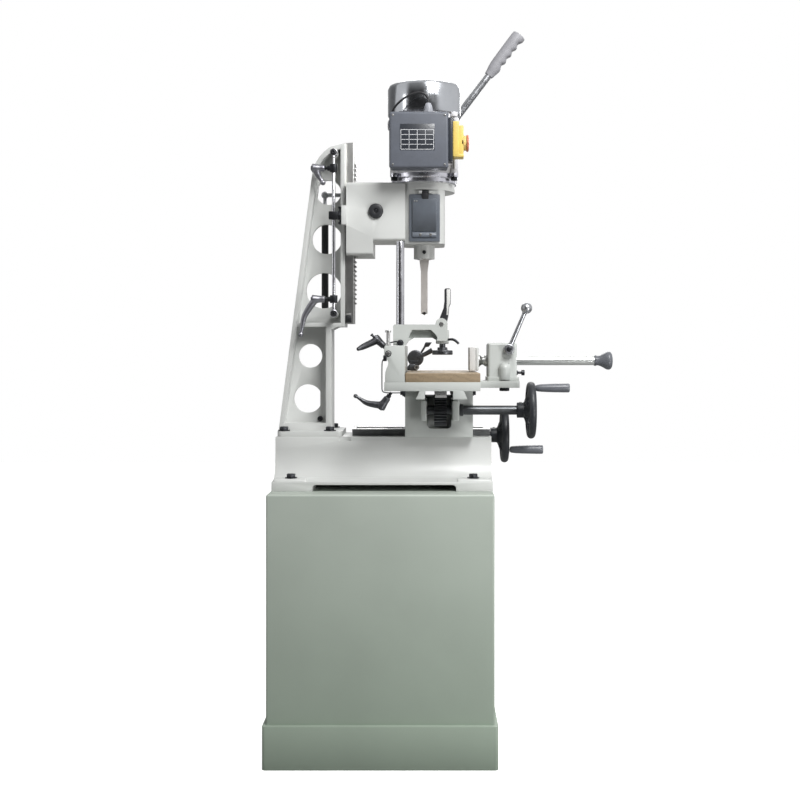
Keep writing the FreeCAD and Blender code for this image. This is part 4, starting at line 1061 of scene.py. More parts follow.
def makeGasSpring(values):
    x, y = values["x"], values["y"]
    tube = turned(values["tube"], (x, y, 0), up)
    drill(tube, 4.2, 200, (x, y, 1020), up, 32)
    soften(tube, 0.4, 2)
    eye = ball((x, y, values["high"]), 9)
    stud = turned([(0, 5), (50, 5)], (x, y, values["high"]), toRight, 28)
    nut = hexBolt((-99, y, values["high"]), toRight, 13, 12.9)
    splitAt(tube, 1273.5)
    finished(tube, "gasSpringTube", "blackPlastic", "head", "gas_spring_cylinder")
    paintFaces(tube, "satinChrome", lambda at, normal: at.z > 1273.4)
    finished(joined(eye, stud), "gasSpringEye", "satinChrome", "head", "gas_spring_cylinder")
    finished(nut, "gasSpringNut", "blackSteel", "head", "gas_spring_cylinder")
    stem = soften(turned([(0, 4), (366, 4)], (x, y, 774), up, 32), 0.3, 1)
    eyeLow = soften(turned(values["lowerEye"], (x, 0, values["low"]), far, 40), 0.4, 1)
    cap = socketScrew((x, 66, values["low"]), far, 5.5, 4)
    finished(joined(stem, eyeLow, cap), "gasSpringRod", "chrome", "stand_and_column", "gas_spring_rod")
    bolt = socketScrew((x - 6, -5.8, values["low"] - 1), near, 6.4, 6)
    finished(bolt, "springBolt", "blackSteel", "stand_and_column")


makeGasSpring(gasSpring)
print("depth stop and gas spring done")


# Head: black cap over the pinion shaft, slate spindle cover, socket screws

headDetail = {
    "capX": -16.4, "capZ": 1256, "capRadius": 17.6,
    "coverX": (62, 134), "coverZ": (1184, 1295), "hingeZ": 1300,
    "tab": ((92.4, -73.4, 1283), (107.6, -67.5, 1300)),
}


def makeHeadDetail(values):
    x, z, r = values["capX"], values["capZ"], values["capRadius"]
    cap = turned([(0, r), (2.5, r), (5.5, r * 0.94), (7.2, r * 0.78), (7.7, r * 0.5), (7.7, r * 0.30),
                  (4.5, r * 0.26)], (x, -65.3, z), near, 56)
    soften(cap, 0.5, 2, 25)
    finished(cap, "pinionCap", "blackPlastic", "feed_drive", "pinion_shaft")
    screw = socketScrew((x, -69.6, z), near, 3.6, 2.4)
    finished(screw, "pinionCapScrew", "blackSteel", "feed_drive")
    shaft = soften(turned([(-66, 12), (104, 12)], (x, 0, z), far, 40), 0.6, 2)
    finished(shaft, "pinionShaft", "machinedSteel", "feed_drive", "pinion_shaft")
    x0, x1 = values["coverX"]
    z0, z1 = values["coverZ"]
    panel = soften(block((x0, -69, z0), (x1, -65.3, z1)), 1.4, 3, 40)
    raised = soften(block((x0 + 7, -73, z0 + 10), (x1 - 8, -68, z1 - 10)), 2.2, 4, 40)
    groove = block((x0 + 7, -74, z0 + 22), (x1 - 8, -71.8, z0 + 23.4))
    cut(raised, groove)
    tab = soften(block(*values["tab"]), 1.2, 3, 40)
    knuckle = soften(turned([(0, 4.2), (15.6, 4.2)], (92.2, -70, values["hingeZ"]), toRight, 32), 0.4, 2)
    finished(joined(panel, raised), "spindleCover", "slateGloss", "cover", "spindle_cover")
    finished(joined(tab, knuckle), "coverLatch", "blackPlastic", "cover")
    heads = [slottedScrew((cx, -73, z0 + 16), near, 3.2, 1.8) for cx in (88, 112)]
    heads += [slottedScrew((cx, -73, z1 - 16.5), near, 2.0, 1.2) for cx in (74.5, 79.5)]
    finished(joined(*heads), "coverScrews", "machinedSteel", "cover")
    bush = turned([(1145.9, 12), (1146.3, 16.5), (1150, 16.5)], (spindleX, 0, 0), up, 48)
    drill(bush, 9.6, 30, (spindleX, 0, 1130))
    soften(bush, 0.3, 1)
    finished(bush, "chiselBush", "machinedSteel", "head", "chisel_bush")
    setScrew = socketScrew((spindleX, -24.6, 1163), near, 4.4, 3.4)
    finished(setScrew, "chiselSetScrew", "blackSteel", "head")
    lugScrews = [socketScrew((-98.5, -70, 1245 + side * 14), toLeft, 3.6, 3) for side in (-1, 1)]
    finished(joined(*lugScrews), "lugScrews", "blackSteel", "head")
    gibScrews = [socketScrew((-79.5, 65, height), far, 4.2, 3) for height in (1172, 1215, 1262, 1306)]
    finished(joined(*gibScrews), "headGibScrews", "blackSteel", "head")


makeHeadDetail(headDetail)
print("head done")


# Motor: cowl with its vents, silver body, end bell and through bolts

motor = {
    "x": spindleX, "boltDx": 70, "boltDy": 52, "stem": (1330, 1490), "ear": (1337, 1346), "nutTop": 1337,
    "bell": [(1325, 74), (1326, 76), (1334, 76.6), (1336, 79.6), (1340, 80.4), (1346, 80.4)],
}


def makeMotor(values):
    x = values["x"]
    smoothCopies([
        ("fan_cowl", "fanCowl", "smokedGloss", "head", 0.5),
        ("motor_body", "motorBody", "motorSilver", "head", 0.5),
        ("cooling_fan", "coolingFan", "blackPlastic", "spindle", 0),
        ("motor_rotor", "motorRotor", "coreIron", "spindle", 0),
        ("motor_stator", "motorStator", "coreIron", "head", 0),
        ("drill_chuck", "drillChuck", "machinedSteel", "spindle", 0.3),
    ])
    bell = turned(values["bell"], (x, 0, 0), up, 96)
    drill(bell, 9.2, 60, (x, 0, 1310))
    corners = [(x + sx * values["boltDx"], sy * values["boltDy"]) for sx in (-1, 1) for sy in (-1, 1)]
    for bx, by in corners:
        fuse(bell, turned([(z, 9.5) for z in values["ear"]], (bx, by, 0), up, 32))
    soften(bell, 0.9, 3, 35)
    finished(bell, "endBell", "bellGloss", "head", "motor_end_bell")
    bolts = [turned([(z, 3.9) for z in values["stem"]], (bx, by, 0), up, 24) for bx, by in corners]
    nuts = [hexBolt((bx, by, values["nutTop"]), down, 13, 8, 9) for bx, by in corners]
    finished(joined(*bolts), "throughBolts", "machinedSteel", "head", "motor_bolts")
    finished(joined(*nuts), "throughBoltNuts", "blackSteel", "head", "motor_bolts")


makeMotor(motor)
print("motor done")


# Switch box: lid with a rolled edge, corner screws, a bare rating plate with a plain grid, and the switch

switchBox = {
    "x": (17, 153), "y": (-137, -83), "z": (1346, 1476), "screwInset": 8.5,
    "plateX": (42, 121), "plateZ": (1387, 1447), "headerShare": 0.22, "lineWidth": 1.1,
}


def makeSwitchBox(values):
    (x0, x1), (y0, y1), (z0, z1) = values["x"], values["y"], values["z"]
    back = soften(block((x0 + 1.2, y0 + 16, z0 + 1.2), (x1 - 1.2, y1, z1 - 1.2)), 5, 4, 40)
    drill(back, 8, 30, (107, -110, 1465), up, 32)
    lid = soften(block((x0, y0, z0), (x1, y0 + 16.4, z1)), 6, 6, 40)
    finished(joined(back, lid), "switchBox", "slatePlastic", "head", "switch_box")
    inset = values["screwInset"]
    heads = []
    for x in (x0 + inset, x1 - inset):
        for z in (z0 + inset, z1 - inset):
            heads.append(slottedScrew((x, y0 + 0.1, z), near, 2.6, 1.4))
    finished(joined(*heads), "switchBoxScrews", "machinedSteel", "head")
    px0, px1 = values["plateX"]
    pz0, pz1 = values["plateZ"]
    plate = soften(block((px0, y0 - 0.6, pz0), (px1, y0 + 1, pz1)), 0.25, 2, 40)
    finished(plate, "ratingPlate", "plateBlack", "head")
    width = values["lineWidth"]
    top = pz1 - (pz1 - pz0) * values["headerShare"]
    xs = [px0 + 2 + (px1 - px0 - 4) * k / 4 for k in range(5)]
    zs = [pz0 + 2 + (top - pz0 - 2) * k / 4 for k in range(5)]
    lines = []
    for z in zs:
        lines.append(block((xs[0] - width / 2, y0 - 0.85, z - width / 2),
                           (xs[4] + width / 2, y0 - 0.4, z + width / 2)))
    for k, x in enumerate(xs):
        low = zs[1] if k == 3 else zs[0]
        lines.append(block((x - width / 2, y0 - 0.85, low), (x + width / 2, y0 - 0.4, zs[4])))
    grid = joined(*lines)
    finished(grid, "ratingPlateGrid", "plateInk", "head")


makeSwitchBox(switchBox)

stopSwitch = {
    "y": -110, "z": 1407,
    "lip": [(164, -130, 1372.6), (164, -130, 1380), (187.6, -130, 1380), (188.4, -130, 1373)],
    "skirt": [(0, 6), (12, 6), (12.5, 16.4), (13, 17.0), (18.4, 17.0)],
    "cap": [(17.9, 16.8), (18.2, 18.6), (19.2, 19.6), (21.4, 20), (23.4, 17.6), (24.2, 11)],
    "collar": [(0, 18.8), (0.6, 19.2), (1.7, 18.8)],
    "frame": ((153, -134, 1364), (162.8, -86, 1463)),
    "cover": ((162.6, -130, 1373), (177, -90, 1455)),
    "step": ((170, -127, 1378), (187.6, -93, 1446)),
}


def makeStopSwitch(values):
    y, z = values["y"], values["z"]
    finished(soften(block(*values["frame"]), 2, 3, 40), "switchFrame", "plateBlack", "head", "switch_housing")
    cover = soften(block(*values["cover"]), 2.6, 4, 40)
    step = soften(block(*values["step"]), 3.0, 4, 40)
    drill(step, 17.4, 20, (184, y, z), toRight, 48)
    lip = soften(drawn(values["lip"], (0, 40, 0)), 1.2, 3, 40)
    finished(joined(cover, step, lip), "switchCover", "switchYellow", "head", "switch_housing")
    collar = turned(values["collar"], (187.2, y, z), toRight, 48)
    drill(collar, 17.4, 40, (170, y, z), toRight, 48)
    soften(collar, 0.3, 2)
    finished(collar, "switchCollar", "switchOrange", "head", "switch_housing")
    stem = soften(turned(values["skirt"], (176.4, y, z), toRight, 56), 0.2, 1, 25)
    finished(stem, "stopButtonSkirt", "switchOrange", "stop_button", "stop_button")
    cap = soften(turned(values["cap"], (176.4, y, z), toRight, 56), 0.4, 2, 25)
    finished(cap, "stopButton", "stopRed", "stop_button", "stop_button")


makeStopSwitch(stopSwitch)


# Glands of the motor lead

glands = {
    "box": (107, -110), "boss": (20, -74),
    "nut": [(1475.5, 12), (1483, 12)],
    "cone": [(1481, 10.4), (1485, 10.2), (1492, 9.0), (1497, 7.2), (1500, 5.4), (1500.2, 3.4)],
    "small": [(1462, 7), (1466, 7), (1468, 5)],
}


def makeGlands(values):
    x, y = values["box"]
    nut = soften(turned(values["nut"], (x, y, 0), up, 6), 0.8, 2, 20)
    cone = turned(values["cone"], (x, y, 0), up, 40)
    for fin in range(8):
        angle = math.radians(45 * fin)
        cx, cy = x + 10.4 * math.cos(angle), y + 10.4 * math.sin(angle)
        drill(cone, 1.1, 14, (cx, cy, 1485), up, 12)
    soften(cone, 0.4, 2, 30)
    bx, by = values["boss"]
    small = soften(turned(values["small"], (bx, by, 0), up, 32), 0.4, 2)
    finished(joined(nut, cone, small), "leadGlands", "glandGrey", "head", "lead_glands")


makeGlands(glands)
print("switch box and glands done")


# Spindle: hollow chisel with its chip window, and the twisted auger inside it

chisel = {
    "x": spindleX, "half": 8, "tip": 1015, "shoulder": 1117, "top": 1146, "bore": 6.8,
    "window": (4.5, 1045, 1128),        # half width, low, high; on the far side, out of the photo's view
    "augerRadius": 6.2, "augerLow": 1017, "augerHigh": 1200, "pitch": 24,
    "augerSteps": 92, "core": 0.46,     # share of the radius that the auger keeps between its flutes
    "point": [(0, 0.5), (2.4, 3.4), (3.8, 5.8)],
}


def makeChisel(values):
    x, half = values["x"], values["half"]
    body = block((x - half, -half, values["tip"]), (x + half, half, values["shoulder"]))
    only(body)
    bpy.ops.object.mode_set(mode="EDIT")
    bpy.ops.mesh.select_mode(type="FACE")
    bpy.ops.mesh.select_all(action="DESELECT")
    closeMesh()
    for face in body.data.polygons:
        face.select = face.normal.z > 0.9
    bpy.ops.object.mode_set(mode="EDIT")
    bpy.ops.mesh.select_mode(type="FACE")
    rise = (values["top"] - values["shoulder"]) * mm
    bpy.ops.mesh.extrude_region_move(TRANSFORM_OT_translate={"value": (0, 0, rise)})
    bpy.ops.transform.resize(value=(1.45, 1.45, 1), center_override=(x * mm, 0, values["top"] * mm))
    closeMesh()
    drill(body, values["bore"], 200, (x, 0, 1000))
    cut(body, turned([(0, 12.5), (11, 5.5)], (x, 0, values["tip"] - 1), up, 40))
    windowHalf, windowLow, windowHigh = values["window"]
    window = block((x - windowHalf, 0, windowLow), (x + windowHalf, 20, windowHigh))
    cut(body, soften(window, 3.5, 4, 40))
    shank = turned([(1145, 9.5), (1150, 9.5)], (x, 0, 0), up, 40)
    soften(body, 0.35, 1, 40)
    finished(joined(body, shank), "hollowChisel", "groundSteel", "head", "hollow_chisel")
    r, low, high = values["augerRadius"], values["augerLow"], values["augerHigh"]
    deselectAll()
    bpy.ops.mesh.primitive_circle_add(vertices=24, radius=r * mm, fill_type="NGON", location=(0, 0, low * mm))
    auger = bpy.context.object
    settle(auger)
    for vertex in auger.data.vertices:
        angle = math.atan2(vertex.co.y, vertex.co.x)
        waist = values["core"] + (1 - values["core"]) * abs(math.cos(angle)) ** 0.45
        vertex.co.x *= waist
        vertex.co.y *= waist
    openMesh(auger)
    rise = (high - low) / values["augerSteps"]
    for step in range(values["augerSteps"]):
        bpy.ops.mesh.extrude_region_move(TRANSFORM_OT_translate={"value": (0, 0, rise * mm)})
        bpy.ops.transform.rotate(value=math.radians(360 * rise / values["pitch"]), orient_axis="Z",
                                 center_override=(0, 0, 0))
    closeMesh()
    outward(auger)
    point = turned(values["point"], (0, 0, 1013.5), up, 24)
    shankLow = turned([(0, 6.3), (62, 6.3)], (0, 0, high - 0.5), up, 32)
    bit = joined(auger, point, shankLow)
    only(bit)
    bpy.ops.transform.translate(value=(x * mm, 0, 0))
    settle(bit)
    soften(bit, 0, 1)
    finished(bit, "augerBit", "darkSteel", "spindle", "auger_bit")


makeChisel(chisel)
print("chisel and auger done")


# Feed lever: hub, plated bar and the moulded grip with finger grooves

feed = {
    "x": -16.4, "y": 120, "z": 1256, "tilt": 37.3, "bar": 9.0,
    "gripStart": 451, "grooves": (40, 62, 84, 106), "grooveDepth": 5.0,
    "grip": [(0, 9.5), (1.5, 11.4), (7, 12.2), (12, 13), (22, 15.2), (32, 16.4), (46, 16.9), (60, 17.2),
             (75, 17.4),
             (90, 17.6), (105, 17.7), (119, 17.8), (126, 17.4), (127.6, 16)],
    "hub": [(103, 22), (104.5, 24), (134, 24), (137, 21), (137.6, 12)],
    "collar": [(18, 12.2), (19, 13), (38, 13), (40, 11.4)],
}


def makeFeedLever(values):
    angle = math.radians(values["tilt"])
    along = Vector((math.sin(angle), 0, math.cos(angle)))
    centre = Vector((values["x"], values["y"], values["z"]))
    hub = soften(turned(values["hub"], (values["x"], 0, values["z"]), far, 56), 0.9, 3, 25)
    collar = soften(turned(values["collar"], centre, along, 40), 0.5, 2)
    key = turned([(0, 5), (3, 5)], (values["x"], 136, values["z"]), far, 6)
    finished(joined(hub, collar), "feedLeverHub", "blackSteel", "feed_drive", "feed_lever")
    finished(key, "feedLeverKey", "machinedSteel", "feed_drive")
    bar = turned([(20, values["bar"] + 1.2), (200, values["bar"] + 0.4),
                  (values["gripStart"] + 60, values["bar"] - 0.6)], centre, along, 48)
    soften(bar, 0, 1)
    finished(bar, "feedLeverBar", "satinChrome", "feed_drive", "feed_lever")
    stations = [(values["gripStart"] + s, r) for s, r in values["grip"]]
    grip = turned(stations, sides=40)
    openMesh(grip)
    bpy.ops.mesh.subdivide(number_cuts=3, smoothness=0)
    closeMesh()
    for vertex in grip.data.vertices:
        x, z = vertex.co.x / mm, vertex.co.z / mm - values["gripStart"]
        side = max(0.0, x / 14.0)
        dip = sum(math.exp(-((z - groove) / 8.0) ** 2) for groove in values["grooves"])
        vertex.co.x -= values["grooveDepth"] * dip * side ** 1.2 * mm
        vertex.co.y *= 0.86
    soften(grip, 0, 1)
    aim(grip, centre, along)
    finished(grip, "feedGrip", "greyGrip", "feed_drive", "feed_grip")


makeFeedLever(feed)
print("feed lever done")


# Handwheels: a round rim, a dished web with windows, a hub, and the turning grips

wheels = [
    {"name": "crossWheel", "node": "cross_handwheel", "body": "cross_wheel", "grip": "cross_wheel_grip",
     "gripBody": "cross_grip", "centre": (0, 726), "hub": 256, "rim": 289, "bore": 9.5,
     "gripAt": (-40.2, -31.4), "gripStart": 299},
    {"name": "tableWheel", "node": "table_handwheel", "body": "table_wheel", "grip": "table_wheel_grip",
     "gripBody": "table_grip", "centre": (-116, 791.5), "hub": 311, "rim": 343, "bore": 10.6,
     "gripAt": (0, 51), "gripStart": 353},
]

wheelShape = {
    "ring": 57.6, "ringThickness": 7.9, "ringStretch": 1.12,
    "windows": 5, "windowCircle": 38, "windowRadius": 9.5, "windowStretch": 1.53, "firstWindow": 20,
    "lug": [(-6, 8.6), (-4, 9.8), (8, 9.8), (9.2, 8.8)],
    "grip": [(0.6, 5.4), (1.2, 6.3), (5, 7.8), (14, 8.8), (30, 9.6), (50, 10.1), (64, 10.3), (76.6, 10.3),
             (78.6, 9.4), (79, 7.6)],
}


def makeWheel(values, shape):
    y, z = values["centre"]
    hub, rimX = values["hub"], values["rim"]
    deselectAll()
    bpy.ops.mesh.primitive_torus_add(major_radius=shape["ring"] * mm, minor_radius=shape["ringThickness"] * mm,
                                     major_segments=96, minor_segments=24, location=(0, 0, 0))
    rim = bpy.context.object
    stretch(rim, (1, 1, shape["ringStretch"]))
    aim(rim, (rimX, y, z), toRight)
    front = rimX - hub
    web = turned([(0, 17.5), (14, 17.5), (15.5, 18.5), (17, 21), (front - 5, 53), (front + 1.5, 53),
                  (25, 21.5), (26, 19), (28.5, 18), (30, 15.5)], sides=72)
    circle = shape["windowCircle"]
    for window in range(shape["windows"]):
        angle = math.radians(360 / shape["windows"] * window + shape["firstWindow"])
        hole = turned([(-20, shape["windowRadius"]), (80, shape["windowRadius"])], sides=28)
        stretch(hole, (1, shape["windowStretch"], 1))
        hole.rotation_euler = (0, 0, angle)
        hole.location = (circle * math.cos(angle) * mm, circle * math.sin(angle) * mm, 0)
        settle(hole)
        cut(web, hole)
    cut(web, turned([(-5, values["bore"]), (15, values["bore"])], sides=40))
    soften(web, 0.8, 2, 35)
    aim(web, (hub, y, z), toRight)
    dy, dz = values["gripAt"]
    lug = soften(turned(shape["lug"], (rimX, y + dy, z + dz), toRight, 36), 0.6, 2)
    setScrew = socketScrew((hub + 8, y, z + 17.2), up, 3.2, 1.6)
    finished(joined(rim, web, lug), values["name"], "wheelBlack", values["body"], values["node"])
    finished(setScrew, values["name"] + "SetScrew", "machinedSteel", values["body"])
    nut = hexBolt((hub + 29.5, y, z), toRight, 16, 5, 11)
    finished(nut, values["name"] + "Nut", "blackSteel", values["body"])
    stud = turned([(-4, 3.9), (78, 3.9)], (rimX, y + dy, z + dz), toRight, 24)
    finished(stud, values["name"] + "Stud", "machinedSteel", values["body"], values["node"])
    grip = turned(shape["grip"], (values["gripStart"], y + dy, z + dz), toRight, 48)
    soften(grip, 0.5, 2, 25)
    finished(grip, values["name"] + "Grip", "gripPlastic", values["gripBody"], values["grip"])


for values in wheels:
    makeWheel(values, wheelShape)

shafts = {"screw": (-55, 270, 726, 9.5), "table": (91, 325, -116, 791.5, 10.6)}


def makeShafts(values):
    x0, x1, z, r = values["screw"]
    screw = turned([(0, r - 1.2), (x1 - x0 - 72, r - 1.2), (x1 - x0 - 71, r), (x1 - x0, r)], (x0, 0, z),
                   toRight, 32)
    ridge = turned([(0, r - 1.3), (1.3, r), (2.4, r), (3.7, r - 1.3)], (x0 + 2, 0, z), toRight, 24)
    finished(joined(screw, repeated(ridge, 51, (4.9, 0, 0))), "leadScrew", "darkShaft", "cross_wheel",
             "lead_screw")
    x0, x1, y, z, r = values["table"]
    sleeve = turned([(60, r), (88, r), (88.5, 14), (96, 14), (96.5, r), (x1 - x0, r)], (x0, y, z), toRight,
                    48)
    soften(sleeve, 0.4, 2)
    finished(sleeve, "tableShaftSleeve", "darkShaft", "table_wheel")


makeShafts(shafts)
print("handwheels and shafts done")


# Table top: the board, the fence and its small fittings, and the lock screws

board = {"x": (55.5, 223), "y": (-200, 200), "z": (858, 878)}


def makeBoard(values):
    (x0, x1), (y0, y1), (z0, z1) = values["x"], values["y"], values["z"]
    plank = block((x0, y0, z0), (x1, y1, z1))
    splitAt(plank, z1 - 2.6)
    soften(plank, 0.8, 2, 40)
    finished(plank, "woodTop", "wood", "table", "wood_top")
    holes = [slottedScrew((x, y, z1 - 1.2), up, 4.4, 1.0) for x in (75, 205) for y in (-150, 0, 150)]
    finished(joined(*holes), "woodTopScrews", "machinedSteel", "table")


makeBoard(board)

fence = {
    "profile": [(10, 858), (10.2, 872), (10.8, 880), (13, 888), (16.2, 895), (17.4, 901), (16.2, 906),
                (11, 911.5), (8.4, 915), (7.7, 920), (7.7, 933), (8.4, 937.5), (11.5, 940)],
    "front": 54, "top": 940, "y": (-200, 200), "post": (42.5, -130), "postRadius": 9.35,
    "postShape": [(905, 9.2), (1176.5, 9.2), (1178.6, 8.4), (1179, 7)],
    "pin": [(940, 6.6), (943, 6.6), (943.4, 4.2), (969, 4.2), (969.5, 6.8), (974, 6.8), (974.6, 5.4)],
    "wire": [(9.5, -203, 912), (4.6, -203, 908), (3.2, -203, 898), (3.2, -203, 870), (3.2, -203, 848),
             (3.6, -203, 838), (9, -203, 835), (26, -203, 834), (52, -203, 834.5)],
    "clip": ((6, -204.5, 905), (14, -199.5, 918)),
    "clipLow": ((44, -204.5, 829.5), (56, -199, 838)),
}


def makeFence(values):
    y0, y1 = values["y"]
    outline = list(values["profile"]) + [(values["front"], values["top"]), (values["front"], 858)]
    body = drawn([(x, y0, z) for x, z in outline], (0, y1 - y0, 0))
    px, py = values["post"]
    drill(body, values["postRadius"], 60, (px, py, 905))
    soften(body, 1.0, 2, 40)
    finished(body, "fence", "tablePaint", "table", "fence_block")
    post = soften(turned(values["postShape"], (px, py, 0), up, 56), 0.3, 1)
    finished(post, "holdDownPost", "chrome", "table", "hold_down_post")
    pivot = slottedScrew((17.5, y0 + 0.2, 922), near, 5.2, 2.6)
    finished(pivot, "fencePivotScrew", "machinedSteel", "table")
    ring = turned([(0, 7), (1.2, 7)], (17.5, y0 + 0.3, 922), near, 32)
    finished(ring, "fencePivotWasher", "blackSteel", "table")
    pin = soften(turned(values["pin"], (16.5, -186, 0), up, 32), 0.3, 1)
    finished(pin, "fencePin", "machinedSteel", "table")
    finished(soften(swept(values["wire"], [1.3] * 9, 3), 0, 1), "stopWire", "blackSteel", "table")
    clip = soften(block(*values["clip"]), 1.0, 2, 40)
    foot = soften(block(*values["clipLow"]), 1.0, 2, 40)
    finished(joined(clip, foot), "wireClips", "blackSteel", "table")


makeFence(fence)

lockScrews = [
    # name, body, place, toward, head radius, height
    ("saddleGibScrews", "saddle", [(53, -70, 826), (53, 0, 826), (53, 70, 826)], toLeft, 4.6, 7),
    ("saddleRightScrews", "saddle", [(210, -70, 829), (210, 0, 829), (210, 70, 829)], toRight, 4.6, 8),
]


def makeLockScrews(rows):
    for name, body, places, toward, radius, height in rows:
        parts = []
        for at in places:
            parts.append(socketScrew(at, toward, radius, height))
            parts.append(hexBolt(at, toward, 13, 3))
        finished(joined(*parts), name, "blackSteel", body)


makeLockScrews(lockScrews)
print("table done")


# Hold-down: the ribbed arm, the cam lever, the foot and its small fittings

holdDown = {
    "post": (42.5, -130), "foot": (139, -130), "cam": (136.7, 989),
    "outline": [(26.5, 985), (29.5, 988), (128, 988), (149, 980), (150.5, 972), (150.5, 951), (128, 951),
                (116, 958), (74, 958), (62, 951), (55, 941), (26.5, 941)],
    "pocket": [(61, 957.4), (69.5, 976), (113, 976), (127, 961), (127, 953), (118, 954), (74, 954)],
    "pocketDepths": ((-160, -139), (-121, -100)), "armY": (-151, -109),
    "face": [(148.6, -140.1, 1034), (148.6, -140.1, 1068.5), (156.6, -140.1, 1068.5), (156.6, -140.1, 1037),
             (153.4, -140.1, 1030), (151.4, -140.1, 1010), (148.4, -140.1, 1010)],
    "disc": [(919, 22.4), (920.2, 23.6), (928, 23.6), (929.4, 22.4), (930, 12), (936, 11), (936.5, 8)],
    "stem": [(928, 7), (976.7, 7)],
    "boss": [(944, 13.5), (945.5, 15), (984, 15)],
    "pin": [(-152.6, 3.9), (-152.4, 5.2), (-151, 5.2), (-150.8, 3.9), (-107, 3.9)],
    "catch": [(150, -146, 953), (160, -147, 955.5), (170, -148, 951), (176, -148.5, 944)],
    "wire": [(11, -141, 944), (18, -148, 945.5), (27, -156, 948.5), (36, -157, 949)],
}


def makeHoldDown(values):
    px, py = values["post"]
    fx, fy = values["foot"]
    cx, cz = values["cam"]
    armNear, armFar = values["armY"]
    arm = drawn([(x, armNear, z) for x, z in values["outline"]], (0, armFar - armNear, 0))
    for y0, y1 in values["pocketDepths"]:
        pocket = drawn([(x, y0, z) for x, z in values["pocket"]], (0, y1 - y0, 0))
        soften(pocket, 1.5, 2, 40)
        cut(arm, pocket)
    fuse(arm, turned(values["boss"], (fx, fy, 0), up, 40))
    for y in (-151, -118):
        ear = turned([(0, 13.6), (9, 13.6)], (cx, y, cz), far, 48)
        web = block((cx - 13.6, y, 975), (cx + 13.6, y + 9, cz))
        fuse(arm, fuse(web, ear))
    drill(arm, 9.4, 70, (px, py, 930))
    drill(arm, 7.1, 70, (fx, fy, 930))
    cut(arm, block((cx - 17, -141.8, 976), (cx + 20, -118.2, 1010)))
    drill(arm, 4.1, 60, (cx, -160, cz), far, 28)
    soften(arm, 1.1, 2, 40)
    finished(arm, "holdDownArm", "tablePaint", "hold_down", "hold_down_arm")
    # the pocket faces get the darker paint: painted shade in the recess under the arm's upper flange
    paintFaces(arm, "castShade",
               lambda at, normal: 61 < at.x < 128 and 954 < at.z < 976 and abs(at.y + 130) < 9.5)
    nut = hexBolt((43, -151.4, 946), near, 12, 7, 7.5)
    wire = soften(swept(values["wire"], [1.5] * 4, 3), 0, 1)
    finished(joined(nut, wire), "armClampNut", "blackSteel", "hold_down")
    pin = turned(values["pin"], (cx, 0, cz), far, 28)
    finished(pin, "camPin", "machinedSteel", "cam", "cam_lever")
    hubCam = turned([(-141.3, 12), (-118.7, 12)], (cx, 0, cz), far, 48)
    outline = [(cx - 6, 990), (cx - 3, 1006), (141.5, 1026), (143.6, 1042), (143.6, 1068), (145.5, 1071),
               (156.5, 1071), (157.8, 1068), (157.8, 1036), (154.5, 1028), (152.5, 1006), (cx + 12, 990)]
    paddle = soften(drawn([(x, -139.6, z) for x, z in outline], (0, 19.2, 0)), 2.4, 4, 40)
    finished(joined(hubCam, paddle), "camLever", "blackPlastic", "cam", "cam_lever")
    finished(soften(drawn(values["face"], (0, 1.2, 0)), 0.4, 2, 40), "camLeverFace", "paleRubber", "cam")
    stem = turned(values["stem"], (fx, fy, 0), up, 40)
    disc = soften(turned(values["disc"], (fx, fy, 0), up, 56), 0.3, 1)
    finished(joined(stem, disc), "footPlunger", "darkSteel", "foot", "foot_plunger")
    catch = soften(swept(values["catch"], [2.6, 3.0, 3.2, 2.6], 4), 0, 1)
    finished(catch, "footCatch", "blackSteel", "hold_down")


makeHoldDown(holdDown)

workStop = {
    "x": 75, "y": 108, "z": 909.8,
    "shoe": [(54.6, 102, 879), (54.6, 102, 888), (60, 102, 895), (74, 102, 895), (79, 102, 888),
             (79, 102, 879)],
    "arm": [(58, 103, 890), (62, 103, 905), (82, 103, 905), (76, 103, 890)],
    "wedge": [(96, 105, 941), (100, 105, 949.5), (116, 105, 949.5), (108, 105, 938), (101, 105, 937)],
    "disc": [(-4.2, 18.6), (-3.4, 20.2), (3.4, 20.2), (4.2, 18.6)],
    "knob": [(-10, 5.8), (-9, 6.6), (9, 6.6), (10, 5.8)],
}


def makeWorkStop(values):
    x, y, z = values["x"], values["y"], values["z"]
    disc = turned(values["disc"], (x, y, z), far, 64)
    rings = []
    for radius in (15.5, 11.5, 7.0):
        ring = turned([(0, radius), (0.9, radius)], (x, y - 4.1, z), near, 48)
        cut(ring, turned([(-1, radius - 1.4), (3, radius - 1.4)], (x, y - 4.1, z), near, 48))
        rings.append(ring)
    soften(disc, 0.3, 1)
    shoe = soften(drawn(values["shoe"], (0, 14, 0)), 1.4, 3, 40)
    arm = soften(drawn(values["arm"], (0, 10, 0)), 1.5, 3, 40)
    lever = swept([(88, y, 915), (103, y, 921), (117, y, 930)], [5.2, 5.6, 6.4], 4)
    handle = swept([(88, y, 922), (97, y, 936), (99, y, 940)], [2.6, 2.6, 2.6], 4)
    wedge = soften(drawn(values["wedge"], (0, 7, 0)), 1.0, 2, 40)
    knob = turned(values["knob"], (77.5, y, 887), far, 32)
    handle = joined(handle, wedge)
    for part in (lever, handle):
        soften(part, 0, 1)
    finished(joined(disc, *rings, shoe, arm, lever, handle, knob), "workStop", "darkSteel", "work_stop",
             "work_stop")
    ring = turned([(0, 5.6), (1.6, 5.6)], (77.5, y - 9.4, 887), near, 32)
    cut(ring, turned([(-2, 3.6), (4, 3.6)], (77.5, y - 9.4, 887), near, 32))
    finished(ring, "workStopRing", "machinedSteel", "work_stop")


makeWorkStop(workStop)
print("hold-down and stop done")


# Clamp: the shaft with its trumpet knob, the nose, the jaw and the lever that locks it

